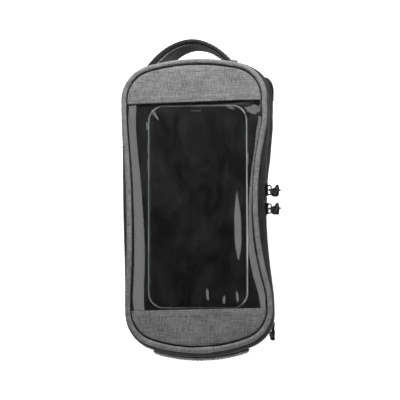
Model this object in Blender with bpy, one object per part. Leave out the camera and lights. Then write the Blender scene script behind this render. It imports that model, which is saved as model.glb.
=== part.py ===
"""Motorcycle tank bag with a clear phone window, in metres, +Z up.

The bag lies flat on its base: +X is its right side, +Y its front end with the carry handle, Z = 0 the
surface it rests on.  Every horizontal slice has one outline made of the same eight stretches: two waisted
sides, four round corners and two shallow end arcs.  LEVELS says how that outline changes with height.
"""

import math
from typing import NamedTuple

import bmesh
import bpy
from mathutils import Vector

MM = 0.001


# ---------------------------------------------------------------- driving dimensions
class Level(NamedTuple):
    """The bag's outer outline at one height."""

    z: float
    half_width: float
    waist_right: float
    waist_left: float
    front: float
    rear: float


LEVELS = (
    Level(1 * MM, 51.5 * MM, 2.2 * MM, 0.2 * MM, 109.5 * MM, 112.8 * MM),
    Level(30 * MM, 53.3 * MM, 3.2 * MM, -0.5 * MM, 113.0 * MM, 116.8 * MM),
    Level(44 * MM, 58.0 * MM, 4.5 * MM, -1.2 * MM, 114.2 * MM, 117.8 * MM),
    Level(56 * MM, 58.5 * MM, 4.65 * MM, -1.2 * MM, 114.5 * MM, 118.0 * MM),
    Level(66 * MM, 56.9 * MM, 9.3 * MM, 2.6 * MM, 113.6 * MM, 113.6 * MM),
)
FRONT_RADIUS = 150 * MM
REAR_RADIUS = 116 * MM
CORNER_RADIUS = 28 * MM
WAIST_Y = -4 * MM
WAIST_HALF_LENGTH = 66 * MM
WAIST_SOFTNESS = 0.1

SIDE_STEPS, CORNER_STEPS, END_STEPS = 14, 5, 8
HINGE_STEPS_LEFT_OUT = 1  # the hinge strip stops this many steps short of each end of the front arc

GAP = 0.3 * MM

# heights, from the ground up
GRIP_SHEET_TOP = 1.0 * MM
SHELL_BOTTOM, SHELL_TOP = 1.3 * MM, 2.8 * MM
BASE_CORD_Z, BASE_CORD_RADIUS = 3.1 * MM, 1.7 * MM
BOARD_BOTTOM, BOARD_TOP = 3.1 * MM, 6.1 * MM
FLOOR_BOTTOM, FLOOR_TOP = 6.4 * MM, 7.6 * MM
WALL_BOTTOM, WALL_TOP = 5.1 * MM, 43.7 * MM
LOWER_TAPE_BOTTOM, LOWER_TAPE_TOP = 44.0 * MM, 48.7 * MM
LOWER_TEETH_BOTTOM, LOWER_TEETH_TOP = 49.0 * MM, 51.2 * MM
ZIP_Z = 52.0 * MM
UPPER_TEETH_BOTTOM, UPPER_TEETH_TOP = 52.8 * MM, 55.0 * MM
UPPER_TAPE_BOTTOM, UPPER_TAPE_TOP = 55.3 * MM, 58.7 * MM
BAND_BOTTOM, BAND_TOP = 59.0 * MM, 66.0 * MM
LINING_BOTTOM, LINING_TOP = 56.4 * MM, 57.3 * MM
BACK_BOTTOM, BACK_TOP = 57.6 * MM, 59.7 * MM
FILM_BOTTOM, FILM_TOP = 68.3 * MM, 69.0 * MM
PANEL_BOTTOM, PANEL_TOP = 69.3 * MM, 71.3 * MM
PIPING_Z, PIPING_RADIUS = 68.9 * MM, 2.6 * MM

# thicknesses and insets, counted inwards from the outline
WALL_THICKNESS = 3.5 * MM
LINING_THICKNESS = 0.8 * MM
BAND_INSET, BAND_THICKNESS = 0.2 * MM, 2.5 * MM
TAPE_INSET, TAPE_THICKNESS = 1.2 * MM, 1.0 * MM
TEETH_INSET, TEETH_THICKNESS = 0.5 * MM, 2.4 * MM
LID_INSIDE = 5.5 * MM

# base
MAGNET_RADIUS, MAGNET_HEIGHT, MAGNET_POCKET = 11 * MM, 2.8 * MM, 11.5 * MM
MAGNET_X, MAGNET_Y = 28 * MM, 72 * MM

# lid
WINDOW_FRONT, WINDOW_REAR = 79.4 * MM, -80.4 * MM
FILM_TUCK = 7 * MM
MOUTH_FRONT, MOUTH_REAR = -85.5 * MM, -97 * MM
FLAP_HALF_WIDTH, FLAP_FRONT, FLAP_REAR = 38 * MM, -83 * MM, -105 * MM
FLAP_BOTTOM, FLAP_TOP = 53.4 * MM, 54.4 * MM
HOOK_BOTTOM, HOOK_TOP = 54.7 * MM, 55.2 * MM
LOOP_BOTTOM, LOOP_TOP = 55.5 * MM, 56.1 * MM
STRIP_BOTTOM = 56.4 * MM
FASTENER_HALF_WIDTH = 35 * MM

# display phone
PHONE_WIDTH, PHONE_LENGTH = 77.4 * MM, 157.5 * MM
PHONE_BOTTOM, PHONE_TOP = 60.0 * MM, 67.9 * MM
PHONE_CORNER, PHONE_RIM = 12.5 * MM, 1.3 * MM
PHONE_CENTRE_X, PHONE_CENTRE_Y = 1.0 * MM, -1.2 * MM
PHONE_SKEW = math.radians(-1.2)
GLASS_RECESS = 1.0 * MM

# handle
HANDLE_X, HANDLE_Z, HANDLE_WIDTH, HANDLE_THICKNESS = -5.3 * MM, 28 * MM, 20 * MM, 3.2 * MM
HANDLE_TOP_APEX, HANDLE_BOTTOM_APEX = 137 * MM, 133.2 * MM
HANDLE_CURVE = 20.8  # drop from the apex in metres per square metre of sideways distance
HANDLE_HALF_SPAN = 30 * MM
HANDLE_STEPS = 14
ANCHOR_THICKNESS, ANCHOR_LENGTH = 2.6 * MM, 12 * MM

# rear patch
PATCH_THICKNESS, PATCH_HALF_WIDTH, PATCH_BOTTOM, PATCH_TOP = 1.6 * MM, 35 * MM, 8 * MM, 42 * MM

# mesh pocket on the right side
POCKET_BOTTOM, POCKET_TOP, HEM_TOP = 7.0 * MM, 25.7 * MM, 30.0 * MM
POCKET_GAP, POCKET_THICKNESS, HEM_THICKNESS = 0.5 * MM, 1.0 * MM, 1.8 * MM
POCKET_REACH, POCKET_RETURN_FRONT, POCKET_RETURN_REAR = 98.5 * MM, 95.2 * MM, 94.0 * MM
POCKET_STEPS = 14

# zip sliders and their pulls
SLIDER_LENGTH, SLIDER_WIDTH = 9 * MM, 8 * MM
SLIDER_CHANNEL, SLIDER_PLATE, SLIDER_WEB = 1.6 * MM, 1.2 * MM, 1.0 * MM
CROWN_LENGTH, CROWN_RISE, CROWN_WALL, CROWN_WIDTH = 8.0 * MM, 1.8 * MM, 1.0 * MM, 2.0 * MM
TAB_THICKNESS, TAB_WIDTH, TAB_LENGTH, TAB_BAR = 1.2 * MM, 7.0 * MM, 9.6 * MM, 1.1 * MM
TAB_SLOT_WIDTH, TAB_SLOT_LENGTH, TAB_EYE_RADIUS, TAB_EYE_AT = 4.4 * MM, 4.0 * MM, 1.4 * MM, 6.9 * MM
PULL_CORD_RADIUS, PULL_LOOP_RADIUS, PULL_LOOP_DROP, PULL_NECK = 1.0 * MM, 4.0 * MM, 16 * MM, 1.15 * MM
KNOT_RADIUS, KNOT_HEIGHT = 3.6 * MM, 8.0 * MM
PULL_LEAN = 0.22  # how far a hanging cord comes in towards the wall for each metre down
FRONT_SLIDER_Y, REAR_SLIDER_Y = 11 * MM, -3.5 * MM


# ---------------------------------------------------------------- outline
def level_at(z):
    """The outline's dimensions at height z, in straight lines between LEVELS."""
    if z <= LEVELS[0].z:
        return LEVELS[0]
    for low, high in zip(LEVELS, LEVELS[1:]):
        if z <= high.z:
            share = (z - low.z) / (high.z - low.z)
            return Level(*(a + (b - a) * share for a, b in zip(low, high)))
    return LEVELS[-1]


def waist(y):
    """How deep the waist is at y, as a share of its depth: a shallow arc that fades out softly."""
    arc = 1 - ((y - WAIST_Y) / WAIST_HALF_LENGTH) ** 2
    return WAIST_SOFTNESS * math.log1p(math.exp(arc / WAIST_SOFTNESS))


def right_side_x(z, y, inset=0.0):
    """X of the right side, carried straight on past the corners."""
    level = level_at(z)
    return level.half_width - inset - level.waist_right * waist(y)


def arc(centre, radius, start, end, steps):
    """Points on an arc, without its last one."""
    for i in range(steps):
        angle = start + (end - start) * i / steps
        yield (centre[0] + radius * math.cos(angle), centre[1] + radius * math.sin(angle))


def end_stretches(half_width, reach, end_radius, corner_radius):
    """(corner centre y, end arc centre y, angle where corner and end arc meet) of one end."""
    arc_y = reach - end_radius
    corner_x = half_width - corner_radius
    rise = math.sqrt((end_radius - corner_radius) ** 2 - corner_x**2)
    return arc_y + rise, arc_y, math.atan2(rise, corner_x)


def outline(z, inset=0.0):
    """The closed outline at height z, inset inwards, counter-clockwise from the right side's rear."""
    level = level_at(z)
    half_width, corner = level.half_width - inset, CORNER_RADIUS - inset
    front_y, front_arc_y, front_angle = end_stretches(
        half_width, level.front - inset, FRONT_RADIUS - inset, corner
    )
    rear_y, rear_arc_y, rear_angle = end_stretches(
        half_width, level.rear - inset, REAR_RADIUS - inset, corner
    )
    corner_x = half_width - corner
    points = []
    for i in range(SIDE_STEPS):
        y = -rear_y + (front_y + rear_y) * i / SIDE_STEPS
        points.append((half_width - level.waist_right * waist(y), y))
    points += arc((corner_x, front_y), corner, 0, front_angle, CORNER_STEPS)
    points += arc((0, front_arc_y), FRONT_RADIUS - inset, front_angle, math.pi - front_angle, END_STEPS)
    points += arc((-corner_x, front_y), corner, math.pi - front_angle, math.pi, CORNER_STEPS)
    for i in range(SIDE_STEPS):
        y = front_y - (front_y + rear_y) * i / SIDE_STEPS
        points.append((-half_width + level.waist_left * waist(y), y))
    points += arc((-corner_x, -rear_y), corner, math.pi, math.pi + rear_angle, CORNER_STEPS)
    points += arc(
        (0, -rear_arc_y), REAR_RADIUS - inset, math.pi + rear_angle, math.tau - rear_angle, END_STEPS
    )
    points += arc((corner_x, -rear_y), corner, math.tau - rear_angle, math.tau, CORNER_STEPS)
    return points


FRONT_ARC_START = SIDE_STEPS + CORNER_STEPS
HINGE_FROM = FRONT_ARC_START + HINGE_STEPS_LEFT_OUT
HINGE_TO = FRONT_ARC_START + END_STEPS - HINGE_STEPS_LEFT_OUT
OUTLINE_POINTS = 2 * SIDE_STEPS + 4 * CORNER_STEPS + 2 * END_STEPS


def cut_outline(points, y_front=math.inf, y_rear=-math.inf):
    """The part of a closed outline between two straight lines across it."""
    kept = []
    for (x0, y0), (x1, y1) in zip(points, points[1:] + points[:1]):
        if y_rear <= y0 <= y_front:
            kept.append((x0, y0))
        crossed = [y for y in (y_front, y_rear) if (y0 - y) * (y1 - y) < 0]
        for y in sorted(crossed, reverse=y1 < y0):
            kept.append((x0 + (x1 - x0) * (y - y0) / (y1 - y0), y))
    return kept


def rounded_rectangle(width, length, radius, steps=5):
    """A rectangle with round corners, counter-clockwise, centred on the origin."""
    x, y = width / 2 - radius, length / 2 - radius
    points = []
    for turn, centre in enumerate(((x, y), (-x, y), (-x, -y), (x, -y))):
        start = turn * math.pi / 2
        points += arc(centre, radius, start, start + math.pi / 2, steps)
        points.append(
            (
                centre[0] + radius * math.cos(start + math.pi / 2),
                centre[1] + radius * math.sin(start + math.pi / 2),
            )
        )
    return points


# ---------------------------------------------------------------- materials and meshes
MATERIALS = {
    "heather_grey_fabric": ((0.26, 0.26, 0.26), 0.9, 0.0),
    "black_fabric": ((0.035, 0.035, 0.037), 0.85, 0.0),
    "black_webbing": ((0.03, 0.03, 0.03), 0.75, 0.0),
    "black_mesh": ((0.03, 0.03, 0.03), 0.8, 0.0),
    "lining": ((0.10, 0.10, 0.105), 0.85, 0.0),
    "clear_film": ((0.8, 0.8, 0.8), 0.1, 0.0),
    "zip_nylon": ((0.025, 0.025, 0.025), 0.5, 0.0),
    "black_metal": ((0.04, 0.04, 0.04), 0.35, 0.9),
    "cord": ((0.03, 0.03, 0.03), 0.8, 0.0),
    "magnet_steel": ((0.6, 0.6, 0.62), 0.3, 1.0),
    "board": ((0.06, 0.06, 0.06), 0.6, 0.0),
    "rubber": ((0.03, 0.03, 0.03), 0.9, 0.0),
    "phone_frame": ((0.45, 0.45, 0.46), 0.3, 0.9),
    "phone_glass": ((0.01, 0.01, 0.01), 0.05, 0.0),
}


def material(name):
    """The named material, made on its first use."""
    found = bpy.data.materials.get(name)
    if found:
        return found
    colour, roughness, metallic = MATERIALS[name]
    made = bpy.data.materials.new(name)
    made.use_nodes = True
    shader = made.node_tree.nodes["Principled BSDF"]
    shader.inputs["Base Color"].default_value = (*colour, 1)
    shader.inputs["Roughness"].default_value = roughness
    shader.inputs["Metallic"].default_value = metallic
    return made


def add_object(name, mesh_or_curve, look):
    """A new object in the scene, with its material."""
    made = bpy.data.objects.new(name, mesh_or_curve)
    mesh_or_curve.materials.append(material(look))
    bpy.context.scene.collection.objects.link(made)
    return made


def mesh_object(name, vertices, faces, look):
    """A closed mesh with its faces turned outwards."""
    mesh = bpy.data.meshes.new(name)
    mesh.from_pydata([Vector(v) for v in vertices], [], faces)
    shape = bmesh.new()
    shape.from_mesh(mesh)
    bmesh.ops.recalc_face_normals(shape, faces=shape.faces)
    shape.to_mesh(mesh)
    shape.free()
    mesh.shade_smooth()
    mesh.set_sharp_from_angle(angle=math.radians(35))
    return add_object(name, mesh, look)


def swept(name, loops, look, closed):
    """A solid whose cross-section has one corner on each loop. Open sweeps get end faces."""
    steps, corners = len(loops[0]), len(loops)
    vertices = [point for loop in loops for point in loop]
    faces = []
    for k in range(corners):
        after = (k + 1) % corners
        for i in range(steps if closed else steps - 1):
            j = (i + 1) % steps
            faces.append((k * steps + i, k * steps + j, after * steps + j, after * steps + i))
    if not closed:
        faces.append([k * steps for k in range(corners)])
        faces.append([k * steps + steps - 1 for k in range(corners)])
    return mesh_object(name, vertices, faces, look)


def around(name, section, look, first=None, last=None):
    """A band round the bag. section lists (height, inset) corners; first and last pick part of the way."""
    loops = []
    for z, inset in section:
        points = [(x, y, z) for x, y in outline(z, inset)]
        if first is not None:
            points = [points[i % OUTLINE_POINTS] for i in range(first, last + 1)]
        loops.append(points)
    return swept(name, loops, look, closed=first is None)


def box_section(bottom, top, inset, thickness):
    """Corners of an upright rectangular band section."""
    return [(bottom, inset), (top, inset), (top, inset + thickness), (bottom, inset + thickness)]


def plate(name, points, bottom, top, look):
    """A flat plate with the given outline."""
    count = len(points)
    vertices = [(x, y, bottom) for x, y in points] + [(x, y, top) for x, y in points]
    faces = [(i, (i + 1) % count, count + (i + 1) % count, count + i) for i in range(count)]
    faces += [list(range(count)), list(range(count, 2 * count))]
    return mesh_object(name, vertices, faces, look)


def prism(name, points, start, end, look, axes):
    """A solid with an outline in two axes and straight sides along the third, given as an axis order."""
    vertices = []
    for third in (start, end):
        for a, b in points:
            place = [0.0, 0.0, 0.0]
            place[axes[0]], place[axes[1]], place[axes[2]] = a, b, third
            vertices.append(place)
    count = len(points)
    faces = [(i, (i + 1) % count, count + (i + 1) % count, count + i) for i in range(count)]
    faces += [list(range(count)), list(range(count, 2 * count))]
    return mesh_object(name, vertices, faces, look)


def cylinder(name, centre, radius, bottom, top, look, steps=20, bevel=0.0):
    """An upright round disc, with a bevelled rim where asked."""
    points = [
        (centre[0] + radius * math.cos(math.tau * i / steps), centre[1] + radius * math.sin(math.tau * i / steps))
        for i in range(steps)
    ]
    made = plate(name, points, bottom, top, look)
    if bevel:
        rim = made.modifiers.new("rim", "BEVEL")
        rim.width, rim.segments, rim.limit_method = bevel, 1, "ANGLE"
    return made


def boolean(target, tool, operation):
    """Cuts tool from target or joins it on, and hides it from the render."""
    change = target.modifiers.new(operation.lower(), "BOOLEAN")
    change.operation, change.object = operation, tool
    tool.hide_render = True
    tool.display_type = "WIRE"


# ---------------------------------------------------------------- bag body
def make_base():
    """Grip sheet, outer shell, seam cord, stiffener board with its magnets, and the compartment's floor."""
    plate("base_grip_sheet", outline(GRIP_SHEET_TOP, 6 * MM), 0, GRIP_SHEET_TOP, "rubber")
    plate("base_shell", outline(SHELL_TOP, 2.4 * MM), SHELL_BOTTOM, SHELL_TOP, "black_fabric")
    sides = 8
    section = [
        (
            BASE_CORD_Z + BASE_CORD_RADIUS * math.sin(math.tau * k / sides),
            0.4 * MM - BASE_CORD_RADIUS * math.cos(math.tau * k / sides),
        )
        for k in range(sides)
    ]
    around("base_seam_cord", section, "black_fabric")
    inside = WALL_THICKNESS + LINING_THICKNESS + 3 * GAP
    board = plate("base_stiffener", outline(BOARD_BOTTOM, inside), BOARD_BOTTOM, BOARD_TOP, "board")
    places = [(x * MAGNET_X, y * MAGNET_Y) for y in (1, -1) for x in (1, -1)]
    for place, name in zip(places, ("front_right", "front_left", "rear_right", "rear_left")):
        pocket = cylinder(f"pocket_cutter_{name}", place, MAGNET_POCKET, 0, 2 * BOARD_TOP, "board")
        boolean(board, pocket, "DIFFERENCE")
        bottom = BOARD_BOTTOM + 0.1 * MM
        cylinder(f"magnet_{name}", place, MAGNET_RADIUS, bottom, bottom + MAGNET_HEIGHT, "magnet_steel")
    plate("compartment_floor", outline(FLOOR_BOTTOM, inside), FLOOR_BOTTOM, FLOOR_TOP, "lining")


def make_walls():
    """The padded side wall with its lining, following LEVELS from the base to the zip."""
    heights = [WALL_BOTTOM, LEVELS[1].z, WALL_TOP]
    outer = [(z, 0.0) for z in heights]
    inner = [(z, WALL_THICKNESS) for z in reversed(heights)]
    around("side_wall", outer + inner, "black_fabric")
    near = WALL_THICKNESS + GAP
    outer = [(z, near) for z in heights]
    inner = [(z, near + LINING_THICKNESS) for z in reversed(heights)]
    around("wall_lining", outer + inner, "lining")


def make_rear_patch():
    """The grey fabric patch sewn on the rear end wall."""
    first = 2 * SIDE_STEPS + 3 * CORNER_STEPS + END_STEPS
    heights = [PATCH_BOTTOM, LEVELS[1].z, PATCH_TOP]
    section = [(z, -GAP) for z in heights] + [(z, -GAP - PATCH_THICKNESS) for z in reversed(heights)]
    around("rear_patch", section, "heather_grey_fabric", first + 1, first + END_STEPS - 1)


def make_handle():
    """The arched strap and the two patches that hold its ends on the front wall."""
    loops = []
    for z, apex in (
        (HANDLE_Z - HANDLE_WIDTH / 2, HANDLE_BOTTOM_APEX),
        (HANDLE_Z + HANDLE_WIDTH / 2, HANDLE_TOP_APEX),
    ):
        outer, inner = [], []
        for i in range(HANDLE_STEPS + 1):
            across = HANDLE_HALF_SPAN * (2 * i / HANDLE_STEPS - 1)
            slope = -2 * HANDLE_CURVE * across
            length = math.hypot(1, slope)
            y = apex - HANDLE_CURVE * across**2
            outer.append((HANDLE_X + across, y, z))
            inner.append(
                (
                    HANDLE_X + across + HANDLE_THICKNESS * slope / length,
                    y - HANDLE_THICKNESS / length,
                    z,
                )
            )
        loops.append((outer, inner))
    (low_outer, low_inner), (high_outer, high_inner) = loops
    swept("carry_handle", [low_outer, high_outer, high_inner, low_inner], "black_webbing", closed=False)

    bottom, top = HANDLE_Z - HANDLE_WIDTH / 2, HANDLE_Z + HANDLE_WIDTH / 2
    for side, name in ((1, "handle_anchor_right"), (-1, "handle_anchor_left")):
        start = HANDLE_X + side * (HANDLE_HALF_SPAN + 1.5 * MM)
        loops = []
        for z, lift in ((bottom, 1), (top, 1), (top, 0), (bottom, 0)):
            points = []
            for i in range(4):
                x = start + side * ANCHOR_LENGTH * i / 3
                points.append(front_wall_point(z, x, GAP + lift * ANCHOR_THICKNESS))
            loops.append(points)
        swept(name, loops, "black_webbing", closed=False)


def front_wall_point(z, x, lift):
    """A point at x on the front end's outline, lifted off the wall by lift."""
    level = level_at(z)
    half_width, corner = level.half_width, CORNER_RADIUS
    corner_y, arc_y, meet = end_stretches(half_width, level.front, FRONT_RADIUS, corner)
    if abs(x) <= FRONT_RADIUS * math.cos(meet):
        radius = FRONT_RADIUS + lift
        return (x, arc_y + math.sqrt(radius**2 - x**2), z)
    radius = corner + lift
    return (x, corner_y + math.sqrt(radius**2 - (abs(x) - half_width + corner) ** 2), z)


def make_mesh_pocket():
    """The mesh pocket's sheet with its rear floor, its elastic hem and the fabric tab in its front end.

    The sheet runs straight past the bag's round corners and folds back to the wall, so a corner of it
    stands out at each end.
    """

    def path(z, lift):
        level = level_at(z)
        far_x = level.half_width + POCKET_GAP + lift
        ends = []
        for sign, reach, radius, back in (
            (1, level.front, FRONT_RADIUS, POCKET_RETURN_FRONT),
            (-1, level.rear, REAR_RADIUS, POCKET_RETURN_REAR),
        ):
            corner_y = end_stretches(level.half_width, reach, radius, CORNER_RADIUS)[0]
            drop = back - corner_y
            wall_x = level.half_width - CORNER_RADIUS + math.sqrt(CORNER_RADIUS**2 - drop**2)
            ends.append((wall_x + POCKET_GAP + lift / 2, sign * (back + lift)))
        points = [(*ends[1], z), (far_x - 0.7 * MM, -POCKET_REACH - lift, z)]
        for i in range(POCKET_STEPS + 1):
            y = (POCKET_REACH - 1.5 * MM) * (2 * i / POCKET_STEPS - 1)
            points.append((right_side_x(z, y) + POCKET_GAP + lift, y, z))
        points += [(far_x - 0.7 * MM, POCKET_REACH + lift, z), (*ends[0], z)]
        return points

    def sheet(name, bottom, top, thickness, look):
        loops = [path(bottom, thickness), path(top, thickness), path(top, 0), path(bottom, 0)]
        return swept(name, loops, look, closed=False)

    pocket = sheet("mesh_pocket", POCKET_BOTTOM, POCKET_TOP, POCKET_THICKNESS, "black_mesh")
    sheet("pocket_hem", POCKET_TOP + GAP, HEM_TOP, HEM_THICKNESS, "black_webbing")

    def corner_points(sign, z, grow):
        """The three-sided space between the wall's corner and the sheet, grown outwards by grow."""
        level = level_at(z)
        reach, radius = (level.front, FRONT_RADIUS) if sign > 0 else (level.rear, REAR_RADIUS)
        corner_y = end_stretches(level.half_width, reach, radius, CORNER_RADIUS)[0]
        points = []
        for i in range(4):
            y = POCKET_RETURN_REAR - i * 2.5 * MM
            wall_x = level.half_width - CORNER_RADIUS + math.sqrt(CORNER_RADIUS**2 - (y - corner_y) ** 2)
            points.append((wall_x + GAP + 0.2 * MM, sign * (y - 0.1 * MM)))
        far_x = level.half_width + POCKET_GAP + grow
        points.append((far_x, sign * (POCKET_RETURN_REAR - 8 * MM)))
        points.append((far_x - 0.3 * MM, sign * (POCKET_REACH - 1.8 * MM + grow)))
        points.append((far_x - 1.0 * MM, sign * (POCKET_REACH - 1.0 * MM + grow)))
        return points

    floor = plate(
        "pocket_floor_joiner",
        corner_points(-1, POCKET_BOTTOM, 0.45 * MM),
        POCKET_BOTTOM + 0.1 * MM,
        POCKET_BOTTOM + 1.1 * MM,
        "black_mesh",
    )
    boolean(pocket, floor, "UNION")
    low = corner_points(1, POCKET_BOTTOM, -GAP)
    high = corner_points(1, HEM_TOP, -GAP)
    loops = [[(*a, POCKET_BOTTOM), (*b, HEM_TOP)] for a, b in zip(low, high)]
    swept("pocket_end_tab", loops, "black_fabric", closed=False)


# ---------------------------------------------------------------- zip
def make_zip():
    """Two tapes and two rows of teeth, all round but for the front hinge, and the hinge's two strips."""
    first, last = HINGE_TO, OUTLINE_POINTS + HINGE_FROM
    bands = (
        ("lower_zip_tape", LOWER_TAPE_BOTTOM, LOWER_TAPE_TOP, TAPE_INSET, TAPE_THICKNESS),
        ("lower_zip_teeth", LOWER_TEETH_BOTTOM, LOWER_TEETH_TOP, TEETH_INSET, TEETH_THICKNESS),
        ("upper_zip_teeth", UPPER_TEETH_BOTTOM, UPPER_TEETH_TOP, TEETH_INSET, TEETH_THICKNESS),
        ("upper_zip_tape", UPPER_TAPE_BOTTOM, UPPER_TAPE_TOP, TAPE_INSET, TAPE_THICKNESS),
    )
    for name, bottom, top, inset, thickness in bands:
        around(name, box_section(bottom, top, inset, thickness), "zip_nylon", first, last)
    strips = (
        ("hinge_strip_lower", LOWER_TAPE_BOTTOM, ZIP_Z - 0.4 * MM),
        ("hinge_strip_upper", ZIP_Z + 0.4 * MM, UPPER_TAPE_TOP),
    )
    for name, bottom, top in strips:
        strip = around(name, box_section(bottom, top, TAPE_INSET, TAPE_THICKNESS), "black_fabric",
                       HINGE_FROM, HINGE_TO)
        strip.data.name = name


def zip_point(y):
    """(x, heading) of the zip's middle line on the right side at y."""
    x = right_side_x(ZIP_Z, y, TEETH_INSET + TEETH_THICKNESS / 2)
    step = 0.5 * MM
    ahead = right_side_x(ZIP_Z, y + step, 0) - right_side_x(ZIP_Z, y - step, 0)
    return x, -math.atan2(ahead, 2 * step)


def make_slider(name, y):
    """One zip slider with its pull: body and crown, metal tab, cord loop and knot.

    Local axes: X outwards from the wall, Y along the zip, Z up. The empty turns them to the zip's heading.
    """
    x, heading = zip_point(y)
    mount = bpy.data.objects.new(f"{name}_place", None)
    mount.location = (x, y, ZIP_Z)
    mount.rotation_euler = (0, 0, heading)
    bpy.context.scene.collection.objects.link(mount)

    inner, outer = SLIDER_CHANNEL, SLIDER_CHANNEL + SLIDER_PLATE
    high, web = SLIDER_WIDTH / 2, SLIDER_WEB / 2
    section = [
        (-outer, -high), (-inner, -high), (-inner, -web), (inner, -web), (inner, -high), (outer, -high),
        (outer, high), (inner, high), (inner, web), (-inner, web), (-inner, high), (-outer, high),
    ]
    body = prism(f"{name}_body", section, -SLIDER_LENGTH / 2, SLIDER_LENGTH / 2, "black_metal", (0, 2, 1))
    body.parent = mount
    half, rise = CROWN_LENGTH / 2, CROWN_RISE
    inside = half - CROWN_WALL
    arch = [
        (outer - 0.4 * MM, -half), (outer + rise, -half), (outer + rise + CROWN_WALL, -half + CROWN_WALL),
        (outer + rise + CROWN_WALL, half - CROWN_WALL), (outer + rise, half), (outer - 0.4 * MM, half),
        (outer - 0.4 * MM, inside), (outer + rise, inside), (outer + rise, -inside),
        (outer - 0.4 * MM, -inside),
    ]
    crown = prism(f"{name}_crown", arch, -CROWN_WIDTH / 2, CROWN_WIDTH / 2, "black_metal", (0, 1, 2))
    crown.parent = mount
    boolean(body, crown, "UNION")

    bar_x = outer + rise / 2
    pull = bpy.data.objects.new(f"{name}_pull_axis", None)
    pull.location = (bar_x, 0, 0)
    pull.parent = mount
    bpy.context.scene.collection.objects.link(pull)

    bevelled = rounded_rectangle(TAB_LENGTH, TAB_WIDTH, 1.6 * MM, 2)
    shift = TAB_LENGTH / 2 - TAB_BAR / 2
    tab_outline = [(a + shift, b) for a, b in bevelled]
    tab = prism(f"{name}_tab", tab_outline, -TAB_THICKNESS / 2, TAB_THICKNESS / 2, "black_metal", (0, 2, 1))
    tab.parent = pull
    slot_start = TAB_BAR / 2
    slot = [
        (slot_start, -TAB_SLOT_WIDTH / 2), (slot_start + TAB_SLOT_LENGTH, -TAB_SLOT_WIDTH / 2),
        (slot_start + TAB_SLOT_LENGTH, TAB_SLOT_WIDTH / 2), (slot_start, TAB_SLOT_WIDTH / 2),
    ]
    eye = [
        (TAB_EYE_AT + TAB_EYE_RADIUS * math.cos(math.tau * i / 12), TAB_EYE_RADIUS * math.sin(math.tau * i / 12))
        for i in range(12)
    ]
    for label, hole in (("slot", slot), ("eye", eye)):
        cutter = prism(f"{name}_{label}_cutter", hole, -TAB_THICKNESS, TAB_THICKNESS, "black_metal", (0, 2, 1))
        cutter.parent = pull
        boolean(tab, cutter, "DIFFERENCE")

    make_pull_cord(f"{name}_cord", pull)
    knot = cylinder(
        f"{name}_knot", (TAB_EYE_AT - PULL_LEAN * PULL_LOOP_DROP, 0), KNOT_RADIUS,
        -PULL_LOOP_DROP - KNOT_HEIGHT, -PULL_LOOP_DROP, "cord", steps=12, bevel=1.2 * MM,
    )
    knot.parent = pull


def pull_cord_route():
    """Points of a pull's cord in its own plane: (along the zip, height), from knot to knot over the tab."""
    points = []
    neck_z, arc_z = -PULL_LOOP_DROP + GAP, -PULL_LOOP_RADIUS
    leg_steps, arc_steps = 4, 8
    for i in range(leg_steps):
        share = i / leg_steps
        ease = share * share * (3 - 2 * share)
        along = -PULL_NECK - (PULL_LOOP_RADIUS - PULL_NECK) * ease
        points.append((along, neck_z + (arc_z - neck_z) * share))
    for i in range(arc_steps + 1):
        angle = math.pi - math.pi * i / arc_steps
        points.append((PULL_LOOP_RADIUS * math.cos(angle), arc_z + PULL_LOOP_RADIUS * math.sin(angle)))
    points += [(-a, b) for a, b in reversed(points[:leg_steps])]
    return points


def make_pull_cord(name, parent):
    """The cord loop that hangs from a tab's eye."""
    curve = bpy.data.curves.new(name, "CURVE")
    curve.dimensions = "3D"
    curve.bevel_depth = PULL_CORD_RADIUS
    curve.bevel_resolution = 2
    curve.use_fill_caps = True
    route = pull_cord_route()
    spline = curve.splines.new("POLY")
    spline.points.add(len(route) - 1)
    for point, (along, z) in zip(spline.points, route):
        point.co = (TAB_EYE_AT + PULL_LEAN * z, along, z, 1)
    cord = add_object(name, curve, "cord")
    cord.parent = parent


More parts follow.
